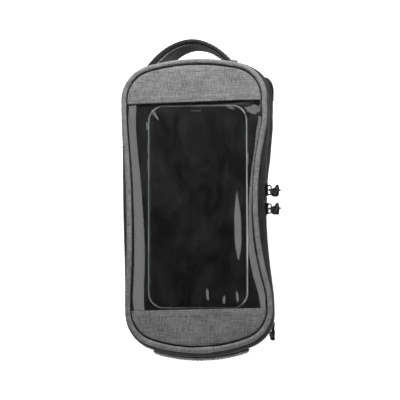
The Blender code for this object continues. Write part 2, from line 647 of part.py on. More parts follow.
# ---------------------------------------------------------------- lid
def make_lid():
    """Band, piping, two fabric panels, clear window, pocket back, lining and the pocket's mouth flap."""
    around("lid_band", box_section(BAND_BOTTOM, BAND_TOP, BAND_INSET, BAND_THICKNESS), "black_fabric")
    sides = 8
    section = [
        (
            PIPING_Z + PIPING_RADIUS * math.sin(math.tau * (k + 0.5) / sides),
            PIPING_RADIUS - PIPING_RADIUS * math.cos(math.tau * (k + 0.5) / sides),
        )
        for k in range(sides)
    ]
    around("lid_piping", section, "heather_grey_fabric")

    top = outline(LEVELS[-1].z, LID_INSIDE)
    plate("lid_panel_front", cut_outline(top, y_rear=WINDOW_FRONT), PANEL_BOTTOM, PANEL_TOP,
          "heather_grey_fabric")
    plate("lid_panel_rear", cut_outline(top, y_front=WINDOW_REAR), PANEL_BOTTOM, PANEL_TOP,
          "heather_grey_fabric")
    film = cut_outline(top, y_front=WINDOW_FRONT + FILM_TUCK, y_rear=WINDOW_REAR - FILM_TUCK)
    plate("window_film", film, FILM_BOTTOM, FILM_TOP, "clear_film")

    inside = outline(BACK_TOP, BAND_INSET + BAND_THICKNESS + GAP)
    plate("phone_pocket_back", cut_outline(inside, y_rear=MOUTH_FRONT), BACK_BOTTOM, BACK_TOP, "black_fabric")
    below = outline(UPPER_TAPE_TOP, TAPE_INSET + TAPE_THICKNESS + GAP)
    plate("lid_lining", cut_outline(below, y_rear=MOUTH_FRONT), LINING_BOTTOM, LINING_TOP, "lining")
    plate("pocket_mouth_strip", cut_outline(outline(BACK_TOP, 3.2 * MM), y_front=MOUTH_REAR), STRIP_BOTTOM,
          BACK_TOP, "black_fabric")

    def strip(name, half_width, rear, front, bottom, height, look):
        points = [(-half_width, rear), (half_width, rear), (half_width, front), (-half_width, front)]
        plate(name, points, bottom, height, look)

    strip("pocket_flap", FLAP_HALF_WIDTH, FLAP_REAR, FLAP_FRONT, FLAP_BOTTOM, FLAP_TOP, "lining")
    fastener_rear, fastener_front = FLAP_REAR + 0.8 * MM, MOUTH_REAR - 0.8 * MM
    strip("hook_tape", FASTENER_HALF_WIDTH, fastener_rear, fastener_front, HOOK_BOTTOM, HOOK_TOP, "zip_nylon")
    strip("loop_tape", FASTENER_HALF_WIDTH, fastener_rear, fastener_front, LOOP_BOTTOM, LOOP_TOP, "zip_nylon")


def make_phone():
    """The plain display phone in the pocket: a frame with a recess, and its glass."""

    def placed(width, length, radius):
        cos, sin = math.cos(PHONE_SKEW), math.sin(PHONE_SKEW)
        return [
            (PHONE_CENTRE_X + x * cos - y * sin, PHONE_CENTRE_Y + x * sin + y * cos)
            for x, y in rounded_rectangle(width, length, radius)
        ]

    frame = plate("phone_frame", placed(PHONE_WIDTH, PHONE_LENGTH, PHONE_CORNER), PHONE_BOTTOM, PHONE_TOP,
                  "phone_frame")
    inner_width, inner_length = PHONE_WIDTH - 2 * PHONE_RIM, PHONE_LENGTH - 2 * PHONE_RIM
    corner = PHONE_CORNER - PHONE_RIM
    recess = plate("phone_recess_cutter", placed(inner_width, inner_length, corner), PHONE_TOP - GLASS_RECESS,
                   PHONE_TOP + GLASS_RECESS, "phone_frame")
    boolean(frame, recess, "DIFFERENCE")
    plate("phone_glass", placed(inner_width - 2 * GAP, inner_length - 2 * GAP, corner - GAP),
          PHONE_TOP - GLASS_RECESS + GAP, PHONE_TOP - 0.05 * MM, "phone_glass")


def main():
    for old in list(bpy.data.objects):
        bpy.data.objects.remove(old)
    make_base()
    make_walls()
    make_rear_patch()
    make_handle()
    make_mesh_pocket()
    make_zip()
    make_slider("front_slider", FRONT_SLIDER_Y)
    make_slider("rear_slider", REAR_SLIDER_Y)
    make_lid()
    make_phone()


main()
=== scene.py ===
"""The motorcycle tank bag's shown pieces, looks, lights and camera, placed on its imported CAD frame.

Lengths are in metres, +Z is up and the front is +Y. The bag's outline at any height follows the same eight
stretches as the CAD model: two waisted sides, four round corners and two shallow end arcs.
"""

import math
from typing import NamedTuple

import bmesh
import bpy
import numpy as np
from mathutils import Matrix, Vector, noise


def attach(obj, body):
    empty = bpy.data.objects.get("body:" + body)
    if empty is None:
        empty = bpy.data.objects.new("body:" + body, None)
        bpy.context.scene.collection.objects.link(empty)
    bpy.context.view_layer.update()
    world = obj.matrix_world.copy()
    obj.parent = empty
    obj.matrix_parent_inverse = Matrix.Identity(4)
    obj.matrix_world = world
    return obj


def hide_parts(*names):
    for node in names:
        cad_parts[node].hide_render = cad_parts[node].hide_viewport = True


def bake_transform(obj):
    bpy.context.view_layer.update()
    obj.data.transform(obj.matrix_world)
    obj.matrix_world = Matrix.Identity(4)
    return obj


MM = 0.001
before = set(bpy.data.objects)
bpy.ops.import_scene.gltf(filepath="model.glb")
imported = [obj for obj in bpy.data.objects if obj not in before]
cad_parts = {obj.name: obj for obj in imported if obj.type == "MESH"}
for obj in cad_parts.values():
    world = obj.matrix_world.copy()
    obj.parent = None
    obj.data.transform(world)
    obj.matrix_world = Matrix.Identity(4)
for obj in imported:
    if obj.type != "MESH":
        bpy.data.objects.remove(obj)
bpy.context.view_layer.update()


# ---------------------------------------------------------------- camera
LENS, SENSOR = 120.0, 36.0
VIEW_WIDTH = 0.3087
LOOK_AT = Vector((0.0028, 0.0037, 0.066))
CAMERA_AZIMUTH, CAMERA_ELEVATION, CAMERA_ROLL = math.radians(47), math.radians(83.5), math.radians(1.34)


def make_camera():
    """A long lens almost straight above, a little to the bag's right and rear."""
    data = bpy.data.cameras.new("camera")
    data.lens, data.sensor_width = LENS, SENSOR
    data.clip_start, data.clip_end = 0.05, 20.0
    camera = bpy.data.objects.new("camera", data)
    bpy.context.scene.collection.objects.link(camera)
    flat, rise = math.cos(CAMERA_ELEVATION), math.sin(CAMERA_ELEVATION)
    back = Vector((math.sin(CAMERA_AZIMUTH) * flat, -math.cos(CAMERA_AZIMUTH) * flat, rise))
    up = Vector((math.sin(CAMERA_ROLL), math.cos(CAMERA_ROLL), 0))
    right = up.cross(back).normalized()
    up = back.cross(right)
    turn = Matrix((right, up, back)).transposed().to_4x4()
    distance = VIEW_WIDTH * LENS / SENSOR
    camera.matrix_world = Matrix.Translation(LOOK_AT + back * distance) @ turn
    bpy.context.scene.camera = camera


make_camera()


# ---------------------------------------------------------------- outline
class Level(NamedTuple):
    """The bag's outer outline at one height."""

    z: float
    half_width: float
    waist_right: float
    waist_left: float
    front: float
    rear: float


LEVELS = (
    Level(1 * MM, 51.5 * MM, 2.2 * MM, 0.2 * MM, 109.5 * MM, 112.8 * MM),
    Level(30 * MM, 53.3 * MM, 3.2 * MM, -0.5 * MM, 113.0 * MM, 116.8 * MM),
    Level(44 * MM, 58.0 * MM, 4.5 * MM, -1.2 * MM, 114.2 * MM, 117.8 * MM),
    Level(56 * MM, 58.5 * MM, 4.65 * MM, -1.2 * MM, 114.5 * MM, 118.0 * MM),
    Level(66 * MM, 56.9 * MM, 9.3 * MM, 2.6 * MM, 113.6 * MM, 113.6 * MM),
)
FRONT_RADIUS, REAR_RADIUS, CORNER_RADIUS = 150 * MM, 116 * MM, 28 * MM
WAIST_Y, WAIST_HALF_LENGTH, WAIST_SOFTNESS = -4 * MM, 66 * MM, 0.1
SIDE_STEPS, CORNER_STEPS, END_STEPS = 104, 30, 64
RING_POINTS = 2 * SIDE_STEPS + 4 * CORNER_STEPS + 2 * END_STEPS
LID_Z = LEVELS[-1].z


def level_at(z):
    """The outline's dimensions at height z, in straight lines between LEVELS."""
    if z <= LEVELS[0].z:
        return LEVELS[0]
    for low, high in zip(LEVELS, LEVELS[1:]):
        if z <= high.z:
            share = (z - low.z) / (high.z - low.z)
            return Level(*(a + (b - a) * share for a, b in zip(low, high)))
    return LEVELS[-1]


def waist(y):
    """How deep the waist is at y, as a share of its depth."""
    return WAIST_SOFTNESS * np.log1p(np.exp((1 - ((y - WAIST_Y) / WAIST_HALF_LENGTH) ** 2) / WAIST_SOFTNESS))


def end_stretches(half_width, reach, end_radius, corner_radius):
    """(corner centre y, end arc centre y, angle where corner and end arc meet) of one end."""
    arc_y = reach - end_radius
    corner_x = half_width - corner_radius
    rise = math.sqrt((end_radius - corner_radius) ** 2 - corner_x**2)
    return arc_y + rise, arc_y, math.atan2(rise, corner_x)


def ring(z, inset=0.0):
    """The closed outline at height z, inset inwards, counter-clockwise from the right side's rear."""
    level = level_at(z)
    half_width, corner = level.half_width - inset, CORNER_RADIUS - inset
    front_radius, rear_radius = FRONT_RADIUS - inset, REAR_RADIUS - inset
    front_y, front_arc_y, front_angle = end_stretches(half_width, level.front - inset, front_radius, corner)
    rear_y, rear_arc_y, rear_angle = end_stretches(half_width, level.rear - inset, rear_radius, corner)
    corner_x = half_width - corner

    def arc(centre, radius, start, end, count):
        angle = np.linspace(start, end, count, endpoint=False)
        return np.array(centre) + radius * np.stack([np.cos(angle), np.sin(angle)], 1)

    up = np.linspace(-rear_y, front_y, SIDE_STEPS, endpoint=False)
    down = np.linspace(front_y, -rear_y, SIDE_STEPS, endpoint=False)
    pi = math.pi
    parts = [
        np.stack([half_width - level.waist_right * waist(up), up], 1),
        arc((corner_x, front_y), corner, 0, front_angle, CORNER_STEPS),
        arc((0, front_arc_y), front_radius, front_angle, pi - front_angle, END_STEPS),
        arc((-corner_x, front_y), corner, pi - front_angle, pi, CORNER_STEPS),
        np.stack([-half_width + level.waist_left * waist(down), down], 1),
        arc((-corner_x, -rear_y), corner, pi, pi + rear_angle, CORNER_STEPS),
        arc((0, -rear_arc_y), rear_radius, pi + rear_angle, 2 * pi - rear_angle, END_STEPS),
        arc((corner_x, -rear_y), corner, 2 * pi - rear_angle, 2 * pi, CORNER_STEPS),
    ]
    flat = np.concatenate(parts)
    return np.column_stack([flat, np.full(len(flat), z)])


def sideways(along):
    """Level unit vectors to the right of each direction in along."""
    normal = np.stack([along[:, 1], -along[:, 0], np.zeros(len(along))], 1)
    return normal / np.linalg.norm(normal, axis=1, keepdims=True)


def outward(points):
    """Sideways unit normals of a closed counter-clockwise outline."""
    return sideways(np.roll(points, -1, 0) - np.roll(points, 1, 0))


def looped(points, closed):
    """The points, with the first one again at the end of a closed path."""
    return np.concatenate([points, points[:1]]) if closed else points


def lengths(points, closed=False):
    """Distance along a path at each of its points, and its end when it is closed."""
    return np.concatenate([[0], np.cumsum(np.linalg.norm(np.diff(looped(points, closed), axis=0), axis=1))])


def on_path(path, along, distance):
    """The point of a path at a distance along it, or its points at several."""
    return np.stack([np.interp(distance, along, path[:, k]) for k in range(3)], -1)


def resample(points, spacing, closed=False):
    """Evenly spaced points along a path."""
    along = lengths(points, closed)
    count = max(2, round(along[-1] / spacing))
    return on_path(looped(points, closed), along, np.linspace(0, along[-1], count, endpoint=not closed))


def eased(count, amount=1.0):
    """Shares from 0 to 1, drawn together towards both ends by amount."""
    even = np.linspace(0, 1, count)
    return amount * (1 - np.cos(math.pi * even)) / 2 + (1 - amount) * even


def wrinkle(point, scale, seed):
    """Smooth noise from -1 to 1 at a point; scale is the size of its folds, one number for each axis."""
    x, y, z = (point[k] / scale[k] for k in range(3))
    return noise.noise(Vector((x + seed, y - seed, z + 2 * seed)))


# ---------------------------------------------------------------- materials
class Look:
    """A material being put together from nodes."""

    def __init__(self, name, colour=(0.5, 0.5, 0.5), roughness=0.8, metallic=0.0, **more):
        self.material = bpy.data.materials.new(name)
        self.material.use_nodes = True
        self.tree = self.material.node_tree
        self.shader = self.tree.nodes["Principled BSDF"]
        self.surface(Base_Color=(*colour, 1), Roughness=roughness, Metallic=metallic, **more)

    def put(self, node, socket, value):
        """Sets a node's input to a number or colour, or links another node's output to it."""
        target = node.inputs[socket]
        if isinstance(value, bpy.types.NodeSocket):
            self.tree.links.new(value, target)
        else:
            target.default_value = value

    def surface(self, **values):
        """Sets the shader's inputs, their names written with _ for a space, and returns the material."""
        for socket, value in values.items():
            self.put(self.shader, socket.replace("_", " "), value)
        return self.material

    def add(self, kind, inputs=(), **settings):
        """A new node with its inputs and settings."""
        node = self.tree.nodes.new(f"ShaderNode{kind}")
        for setting, value in settings.items():
            setattr(node, setting, value)
        for socket, value in dict(inputs).items():
            self.put(node, socket, value)
        return node

    def math(self, operation, first, second=0.0):
        """One step of arithmetic."""
        return self.add("Math", {0: first, 1: second}, operation=operation).outputs[0]

    def plus(self, first, second):
        """The sum of two numbers."""
        return self.math("ADD", first, second)

    def times(self, first, second):
        """The product of two numbers."""
        return self.math("MULTIPLY", first, second)

    def ridges(self, value, width):
        """Rounded ridges of that width side by side, from 0 to 1."""
        return self.math("ABSOLUTE", self.math("SINE", self.times(value, math.pi / width)))

    def coordinates(self, map_name=None):
        """The piece's own coordinates in metres, or those along its cloth."""
        if map_name:
            return self.add("UVMap", uv_map=map_name).outputs["UV"]
        return self.add("TexCoord").outputs["Object"]

    def divided(self, vector, size, shift=(0, 0, 0)):
        """Coordinates divided by size, two or three lengths, and shifted."""
        scale = [1 / length for length in size] + [1] * (3 - len(size))
        return self.add("Mapping", {"Vector": vector, "Scale": scale, "Location": shift}).outputs[0]

    def noise(self, vector, size, detail=2.0, shift=(0, 0, 0), roughness=0.5, distortion=0.0):
        """Noise from 0 to 1, its blotches about as large as size."""
        inputs = {"Vector": self.divided(vector, size, shift), "Scale": 1.0, "Detail": detail}
        inputs |= {"Roughness": roughness, "Distortion": distortion}
        return self.add("TexNoise", inputs).outputs["Fac"]

    def between(self, value, low, high, to_low=0.0, to_high=1.0):
        """Value from low to high, put on the range from to_low to to_high."""
        inputs = {"Value": value, "From Min": low, "From Max": high, "To Min": to_low, "To Max": to_high}
        return self.add("MapRange", inputs).outputs[0]

    def mix(self, share, first, second):
        """Two colours or numbers mixed; the outputs of other nodes count as numbers."""
        colours = isinstance(first, tuple) or isinstance(second, tuple)
        at, out = (6, 2) if colours else (2, 0)
        node = self.add("Mix", {"Factor": share}, data_type="RGBA" if colours else "FLOAT")
        self.put(node, at, first)
        self.put(node, at + 1, second)
        return node.outputs[out]

    def bump(self, height, distance, strength):
        """Normals of a relief of that depth in metres."""
        inputs = {"Height": height, "Distance": distance, "Strength": strength}
        return self.add("Bump", inputs).outputs[0]


def grey(tone):
    """A near neutral colour of that brightness."""
    return (tone, tone, tone * 1.01, 1)


def weave(look, uv, pitch):
    """(which thread is on top, height of the threads) of a plain weave with that thread spacing."""
    cells = look.divided(uv, (pitch, pitch))
    over = look.add("TexChecker", {"Vector": cells, "Scale": 1.0}).outputs["Fac"]
    across, along = look.add("SeparateXYZ", {"Vector": cells}).outputs[:2]
    return over, look.mix(over, look.ridges(along, 1), look.ridges(across, 1))


def heather(name, dark, light, pitch=0.55 * MM, contrast=1.5):
    """Grey heather cloth: every thread changes tone along its length, with thin slubs both ways."""
    look = Look(name, roughness=0.88, Sheen_Weight=0.12, Sheen_Roughness=0.6, Specular_IOR_Level=0.25)
    uv = look.coordinates("cloth")
    over, height = weave(look, uv, pitch)
    threads = []
    for turn, length, shift in ((1, 4.6 * MM, 3.1), (-1, 5.6 * MM, 8.7)):
        slim = look.noise(uv, (1.15 * pitch, length)[::turn], 1.0, (shift, shift, 0))
        slub = look.noise(uv, (0.8 * MM, 1.8 * length)[::turn], 2.0, (2 * shift, shift, 0))
        threads.append(look.mix(0.5, slim, slub))
    tone = look.mix(0.45, look.mix(over, threads[1], threads[0]), look.mix(0.5, threads[0], threads[1]))
    cloud = look.noise(uv, (22 * MM, 16 * MM), 3.0)
    tone = look.plus(tone, look.between(cloud, 0.3, 0.7, -0.035, 0.035))
    spread = 0.17 / contrast
    share = look.between(tone, 0.5 - spread, 0.5 + spread)
    shade = look.between(height, 0.0, 0.75, 0.72, 1.0)
    colour = look.add("Mix", {"Factor": 1.0}, data_type="RGBA", blend_type="MULTIPLY")
    look.put(colour, 6, look.mix(share, grey(dark), grey(light)))
    look.put(colour, 7, look.add("CombineColor", {0: shade, 1: shade, 2: shade}).outputs[0])
    relief = look.plus(height, look.times(tone, 0.8))
    return look.surface(Base_Color=colour.outputs[2], Normal=look.bump(relief, 0.2 * MM, 0.9))


def dark_cloth(name, tone, pitch=0.6 * MM, roughness=0.8, relief=0.14 * MM, sheen=0.2, gloss=0.3):
    """Black woven cloth with a visible weave and faint rubbed patches."""
    look = Look(name, roughness=roughness, Sheen_Weight=sheen, Sheen_Roughness=0.5, Specular_IOR_Level=gloss)
    uv = look.coordinates("cloth")
    _, height = weave(look, uv, pitch)
    fibre = look.noise(uv, (0.7 * MM, 0.7 * MM), 3.0)
    patch = look.noise(uv, (14 * MM, 9 * MM), 4.0)
    share = look.plus(look.times(height, 0.55), look.times(fibre, 0.45))
    rubbed = look.between(patch, 0.35, 0.7)
    low = look.mix(rubbed, grey(tone * 0.65), grey(tone))
    high = look.mix(rubbed, grey(tone * 1.25), grey(tone * 1.8))
    return look.surface(
        Base_Color=look.mix(look.between(share, 0.15, 0.95), low, high),
        Roughness=look.between(patch, 0.3, 0.7, roughness + 0.06, roughness - 0.08),
        Normal=look.bump(look.plus(height, fibre), relief, 0.8),
    )


def webbing(name, tone, rib=1.1 * MM):
    """Ribbed webbing: ribs along the strap and fine cross threads."""
    look = Look(name, roughness=0.7, Sheen_Weight=0.25, Sheen_Roughness=0.4, Specular_IOR_Level=0.35)
    uv = look.coordinates("cloth")
    across, along = look.add("SeparateXYZ", {"Vector": uv}).outputs[:2]
    twill = look.ridges(look.plus(across, look.times(along, 0.6)), 0.7 * MM)
    height = look.plus(look.times(look.ridges(along, rib), 0.65), look.times(twill, 0.35))
    patch = look.noise(uv, (9 * MM, 4 * MM), 3.0)
    shade = look.times(look.between(height, 0.1, 1.0, 0.5, 1.25), look.between(patch, 0.3, 0.7, 0.8, 1.2))
    colour = look.mix(look.between(shade, 0.35, 1.5), grey(tone * 0.45), grey(tone * 1.7))
    return look.surface(Base_Color=colour, Normal=look.bump(height, 0.22 * MM, 0.9))


def clear_film(name):
    """Soft clear film: see-through, glossy at a glance and a little scuffed."""
    look = Look(name)
    look.tree.nodes.remove(look.shader)
    place = look.coordinates("cloth")
    ripple = look.noise(place, (9 * MM, 38 * MM))
    fine = look.noise(place, (2.2 * MM, 6 * MM))
    normal = look.bump(look.plus(look.times(ripple, 0.9), look.times(fine, 0.05)), 0.25 * MM, 0.5)
    fresnel = look.add("Fresnel", {"IOR": 1.62, "Normal": normal}).outputs[0]
    gloss = look.add("BsdfGlossy", {"Color": (1, 1, 1, 1), "Roughness": 0.035, "Normal": normal})
    clear = look.add("BsdfTransparent", {"Color": (0.97, 0.975, 0.97, 1)})
    shiny = look.add("MixShader", {0: fresnel, 1: clear.outputs[0], 2: gloss.outputs[0]})
    smoke = look.noise(place, (20 * MM, 30 * MM), 6.0, roughness=0.6, distortion=0.9)
    rub = look.noise(place, (2.5 * MM, 6 * MM), 4.0, (4, 2, 0))
    haze = look.times(look.between(smoke, 0.38, 0.8), look.between(rub, 0.3, 0.75, 0.6, 1.0))
    haze = look.plus(look.times(haze, 0.028), 0.006)
    dust = look.add("BsdfDiffuse", {"Color": (0.75, 0.75, 0.75, 1)})
    final = look.add("MixShader", {0: haze, 1: shiny.outputs[0], 2: dust.outputs[0]})
    output = next(n for n in look.tree.nodes if n.type == "OUTPUT_MATERIAL")
    look.put(output, "Surface", final.outputs[0])
    return look.material


def plain(name, tone, roughness, metallic=0.0, grain=0.35 * MM, relief=0.02 * MM, spread=0.12, **more):
    """Moulded or metal surface with a fine grain and slight changes in gloss; tone may be a colour."""
    colour = tone if isinstance(tone, tuple) else grey(tone)[:3]
    look = Look(name, colour, roughness, metallic, **more)
    place = look.coordinates()
    fine = look.noise(place, (grain,) * 3, 3.0)
    broad = look.noise(place, (6 * MM,) * 3, 4.0)
    dull, bright = ((*(min(1, c * gain) for c in colour), 1) for gain in (0.8, 1.2))
    return look.surface(
        Base_Color=look.mix(look.between(broad, 0.3, 0.7), dull, bright),
        Roughness=look.between(broad, 0.3, 0.7, roughness - spread / 2, roughness + spread),
        Normal=look.bump(fine, relief, 0.7),
    )


LOOKS = {
    "heather": heather("heather_cloth", 0.095, 0.30),
    "piping": heather("piping_cloth", 0.10, 0.34, pitch=0.5 * MM, contrast=1.4),
    "patch": heather("patch_cloth", 0.18, 0.50),
    "black": dark_cloth("black_cloth", 0.019, sheen=0.08, gloss=0.1),
    "band": dark_cloth("band_cloth", 0.013, pitch=0.5 * MM, sheen=0.05, gloss=0.1),
    "back": dark_cloth("pocket_back_cloth", 0.010, pitch=0.45 * MM, sheen=0.05),
    "lining": dark_cloth("lining_cloth", 0.060, pitch=0.35 * MM, roughness=0.7, relief=0.07 * MM),
    "tape": dark_cloth("zip_tape_cloth", 0.018, pitch=0.8 * MM, sheen=0.08, gloss=0.15),
    "webbing": webbing("webbing", 0.030),
    # Grey ribbed webbing on the strap's inner face; its tone is set lighter than the cloth's own, as painted
    # light for the floor's bounce light on that face.
    "ribs": webbing("strap_webbing", 0.40, rib=1.7 * MM),
    "cover": dark_cloth("strap_cover_cloth", 0.030, pitch=0.6 * MM),
    "elastic": webbing("elastic_binding", 0.026, rib=0.8 * MM),
    "net": dark_cloth("net_thread", 0.030, pitch=0.3 * MM, roughness=0.6),
    "film": clear_film("clear_film"),
    "thread": plain("sewing_thread", 0.050, 0.7, grain=0.2 * MM),
    "pale_thread": plain("grey_thread", 0.320, 0.7, grain=0.2 * MM),
    # Thread of the strap's inner stitches, also set lighter as painted light for the floor's bounce light.
    "strap_thread": plain("strap_thread", 0.640, 0.7, grain=0.2 * MM),
    "coil": plain("zip_coil", 0.022, 0.42, grain=0.3 * MM),
    "metal": plain("slider_metal", (0.045, 0.045, 0.046), 0.34, 0.85, spread=0.14),
    "cord": dark_cloth("pull_cord", 0.028, pitch=0.5 * MM, relief=0.2 * MM),
    "moulded": plain("moulded_end", 0.035, 0.55, grain=0.5 * MM, relief=0.04 * MM),
    "rubber": plain("grip_rubber", 0.030, 0.78, grain=0.6 * MM, relief=0.06 * MM),
    "board": plain("board_plastic", 0.060, 0.6),
    "steel": plain("magnet_steel", 0.55, 0.3, 1.0),
    "hook": plain("hook_tape", 0.020, 0.8, grain=0.4 * MM, relief=0.3 * MM),
    "rim": plain("phone_rim", 0.96, 0.30, 0.75, relief=0.004 * MM, spread=0.06),
    "glass": plain("phone_glass", 0.0045, 0.09, relief=0.001 * MM, spread=0.05, IOR=1.5),
    "slit": plain("earpiece", 0.11, 0.6),
}


# ---------------------------------------------------------------- meshes
def piece_from(name, mesh, look, body, stands_for=()):
    """A shown piece with its material, riding on a body and standing for CAD nodes."""
    piece = bpy.data.objects.new(name, mesh)
    mesh.materials.append(LOOKS[look])
    bpy.context.scene.collection.objects.link(piece)
    if body:
        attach(piece, body)
    if stands_for:
        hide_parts(*stands_for)
    return piece


def shaped(name, rows, look, body, stands_for, slot, **shape):
    """A shown piece with its surface through rows of points; see grid_mesh."""
    return piece_from(name, grid_mesh(name, rows, **shape), look, body, stands_for)


def sewn(name, path, normals, look, body, slot, **thread):
    """A shown row of stitches; see stitches."""
    return piece_from(name, stitches(name, path, normals, **thread), look, body, ())


def mesh_of(shape, name):
    """A new mesh with the faces of a bmesh, which is freed."""
    mesh = bpy.data.meshes.new(name)
    shape.to_mesh(mesh)
    shape.free()
    return mesh


def finished_mesh(name, vertices, faces, corner_uvs=None, sharp=50):
    """A mesh with outward faces, smooth shading and cloth coordinates in metres."""
    mesh = bpy.data.meshes.new(name)
    mesh.from_pydata([tuple(v) for v in vertices], [], faces)
    if corner_uvs is None:
        corner_uvs = np.array([vertices[i][:2] for face in faces for i in face])
    layer = mesh.uv_layers.new(name="cloth")
    layer.data.foreach_set("uv", np.asarray(corner_uvs, np.float32).ravel())
    shape = bmesh.new()
    shape.from_mesh(mesh)
    bmesh.ops.recalc_face_normals(shape, faces=shape.faces)
    shape.to_mesh(mesh)
    shape.free()
    mesh.shade_smooth()
    mesh.set_sharp_from_angle(angle=math.radians(sharp))
    return mesh


def grid_mesh(name, rows, around=True, section=True, caps=False, plan_uv=False, sharp=50):
    """A surface through rows of points. around closes each row, section joins the last row to the first."""
    rows = np.asarray(rows)
    count, width = rows.shape[:2]
    vertices = rows.reshape(-1, 3)
    r, c = np.meshgrid(np.arange(count if section else count - 1), np.arange(width if around else width - 1),
                       indexing="ij")
    r, c = r.ravel(), c.ravel()
    r_next, c_next = (r + 1) % count, (c + 1) % width
    quads = np.stack([r * width + c, r * width + c_next, r_next * width + c_next, r_next * width + c], 1)
    faces = quads.tolist()
    if caps and around:
        faces += [list(range(width)), list(range((count - 1) * width, count * width))]
    elif caps:
        faces += [[k * width for k in range(count)], [k * width + width - 1 for k in range(count)]]
    if plan_uv:
        uvs = None
    else:
        step_u = np.linalg.norm(np.roll(rows, -1, 1) - rows, axis=2).mean(0)
        step_v = np.linalg.norm(np.roll(rows, -1, 0) - rows, axis=2).mean(1)
        u, v = np.concatenate([[0], np.cumsum(step_u)]), np.concatenate([[0], np.cumsum(step_v)])
        uvs = np.stack([np.stack([u[c], v[r]], 1), np.stack([u[c + 1], v[r]], 1),
                        np.stack([u[c + 1], v[r + 1]], 1), np.stack([u[c], v[r + 1]], 1)], 1).reshape(-1, 2)
        extra = sum(len(f) for f in faces[len(quads):])
        uvs = np.concatenate([uvs, np.zeros((extra, 2))])
    return finished_mesh(name, vertices, faces, uvs, sharp)


def frames_along(path):
    """Two unit vectors across a path at each point, turning as little as they can."""
    tangents = np.gradient(path, axis=0)
    tangents /= np.linalg.norm(tangents, axis=1, keepdims=True)
    side = np.cross(tangents[0], (0, 0, 1))
    if np.linalg.norm(side) < 0.1:
        side = np.cross(tangents[0], (1, 0, 0))
    sides = []
    for tangent in tangents:
        side = side - tangent * np.dot(side, tangent)
        side = side / np.linalg.norm(side)
        sides.append(side)
    sides = np.array(sides)
    return sides, np.cross(tangents, sides)


def tube_mesh(name, path, radius, sides):
    """A round tube along an open path, its ends domed."""
    ends = [path[0] - path[1], path[-1] - path[-2]]
    first, last = (radius * 0.5 * end / np.linalg.norm(end) for end in ends)
    path = np.concatenate([[path[0] + first], path, [path[-1] + last]])
    radii = np.full((len(path), 1, 1), radius)
    radii[[0, -1]] *= 0.62
    across, over = frames_along(path)
    angle = np.linspace(0, math.tau, sides, endpoint=False)[None, :, None]
    rows = path[:, None] + radii * (across[:, None] * np.cos(angle) + over[:, None] * np.sin(angle))
    return grid_mesh(name, rows, section=False, caps=True)


def joined(meshes):
    """One mesh from several; the first keeps its name."""
    shape = bmesh.new()
    for mesh in meshes:
        shape.from_mesh(mesh)
    shape.to_mesh(meshes[0])
    shape.free()
    for mesh in meshes[1:]:
        bpy.data.meshes.remove(mesh)
    return meshes[0]


def stitches(name, path, normals, length=2.3 * MM, gap=0.9 * MM, radius=0.17 * MM, lift=0.06 * MM,
             closed=False):
    """A row of sewing stitches lying on a surface along a path, each a short thread bent down at its ends."""
    along = lengths(path, closed)
    chain, ups = looped(path, closed), looped(normals, closed)
    count = max(1, int(along[-1] // (length + gap)))
    pitch = along[-1] / count
    vertices, faces = [], []
    shape = ((0.0, 0.35, -0.9), (0.14, 0.9, 0.25), (0.5, 1.0, 0.55), (0.86, 0.9, 0.25), (1.0, 0.35, -0.9))
    for k in range(count):
        start = k * pitch + gap / 2
        base = len(vertices)
        for share, wide, high in shape:
            at = start + share * length
            point = on_path(chain, along, at)
            ahead = on_path(chain, along, at + 0.2 * MM) - point
            up = on_path(ups, along, at)
            up /= np.linalg.norm(up)
            reach = np.linalg.norm(ahead)
            side = np.cross(ahead / reach if reach > 1e-7 else (1.0, 0, 0), up)
            centre = point + up * (lift + high * radius)
            for turn in range(6):
                angle = math.tau * turn / 6
                vertices.append(centre + radius * wide * (side * math.cos(angle) + up * math.sin(angle)))
        for ring_at in range(len(shape) - 1):
            for turn in range(6):
                a, b = base + ring_at * 6 + turn, base + ring_at * 6 + (turn + 1) % 6
                faces.append([a, b, b + 6, a + 6])
        faces.append([base + t for t in range(6)])
        faces.append([base + (len(shape) - 1) * 6 + t for t in range(6)])
    return finished_mesh(name, vertices, faces)


def soft_edge(distance, radius):
    """How far a rounded edge of that radius falls back at a distance from it."""
    near = np.clip(distance / radius, 0, 1)
    return radius * (1 - np.sqrt(1 - (1 - near) ** 2))


def band_rows(bottom, top, inset, thickness, count, bulge=0.0, crease=None, columns=None, back=4):
    """Rows of a soft upright band: its outer face, rounded edges and inner face.

    crease(point, share) adds to the outer face along its normal, in metres.
    """
    edge = thickness * 0.45
    rows = []
    for s in eased(count):
        z = bottom + (top - bottom) * s
        fall = soft_edge(min(s, 1 - s) * (top - bottom), edge)
        points = ring(z, inset + fall - bulge * (1 - (2 * s - 1) ** 2))
        if crease:
            push = np.array([crease(p, s) for p in points]) * min(1.0, 6 * s, 6 * (1 - s))
            points = points + outward(points) * push[:, None]
        rows.append(points)
    for s in np.linspace(1, 0, back):
        z = bottom + (top - bottom) * s
        fall = soft_edge(min(s, 1 - s) * (top - bottom), edge)
        rows.append(ring(z, inset + thickness - fall))
    rows = np.array(rows)
    return rows if columns is None else rows[:, columns]


def front_columns(half_width):
    """The outline's columns across the front end, from right to left."""
    points = ring(LEVELS[3].z)
    first = SIDE_STEPS + CORNER_STEPS // 2
    last = SIDE_STEPS + 2 * CORNER_STEPS + END_STEPS
    return np.array([i for i in range(first, last) if abs(points[i, 0]) <= half_width])


class Plan(NamedTuple):
    """The plan of a flat piece: its left and right x at any y, the y of its two ends, and its outline."""

    sides: object
    low: float
    high: float
    rim: np.ndarray


def plan_of(z, inset, low=None, high=None):
    """The bag's outline at height z as a plan, cut straight at low or high where they are given."""
    points = ring(z, inset)
    right, left = points[points[:, 0] > 0], points[points[:, 0] <= 0]
    right, left = right[np.argsort(right[:, 1])], left[np.argsort(left[:, 1])]
    tips = points[:, 1].min(), points[:, 1].max()
    lines = [([tips[0], *side[:, 1], tips[1]], [0, *side[:, 0], 0]) for side in (left, right)]

    def sides(y):
        return tuple(np.interp(y, ys, xs) for ys, xs in lines)

    return Plan(sides, tips[0] if low is None else low, tips[1] if high is None else high, points[:, :2])


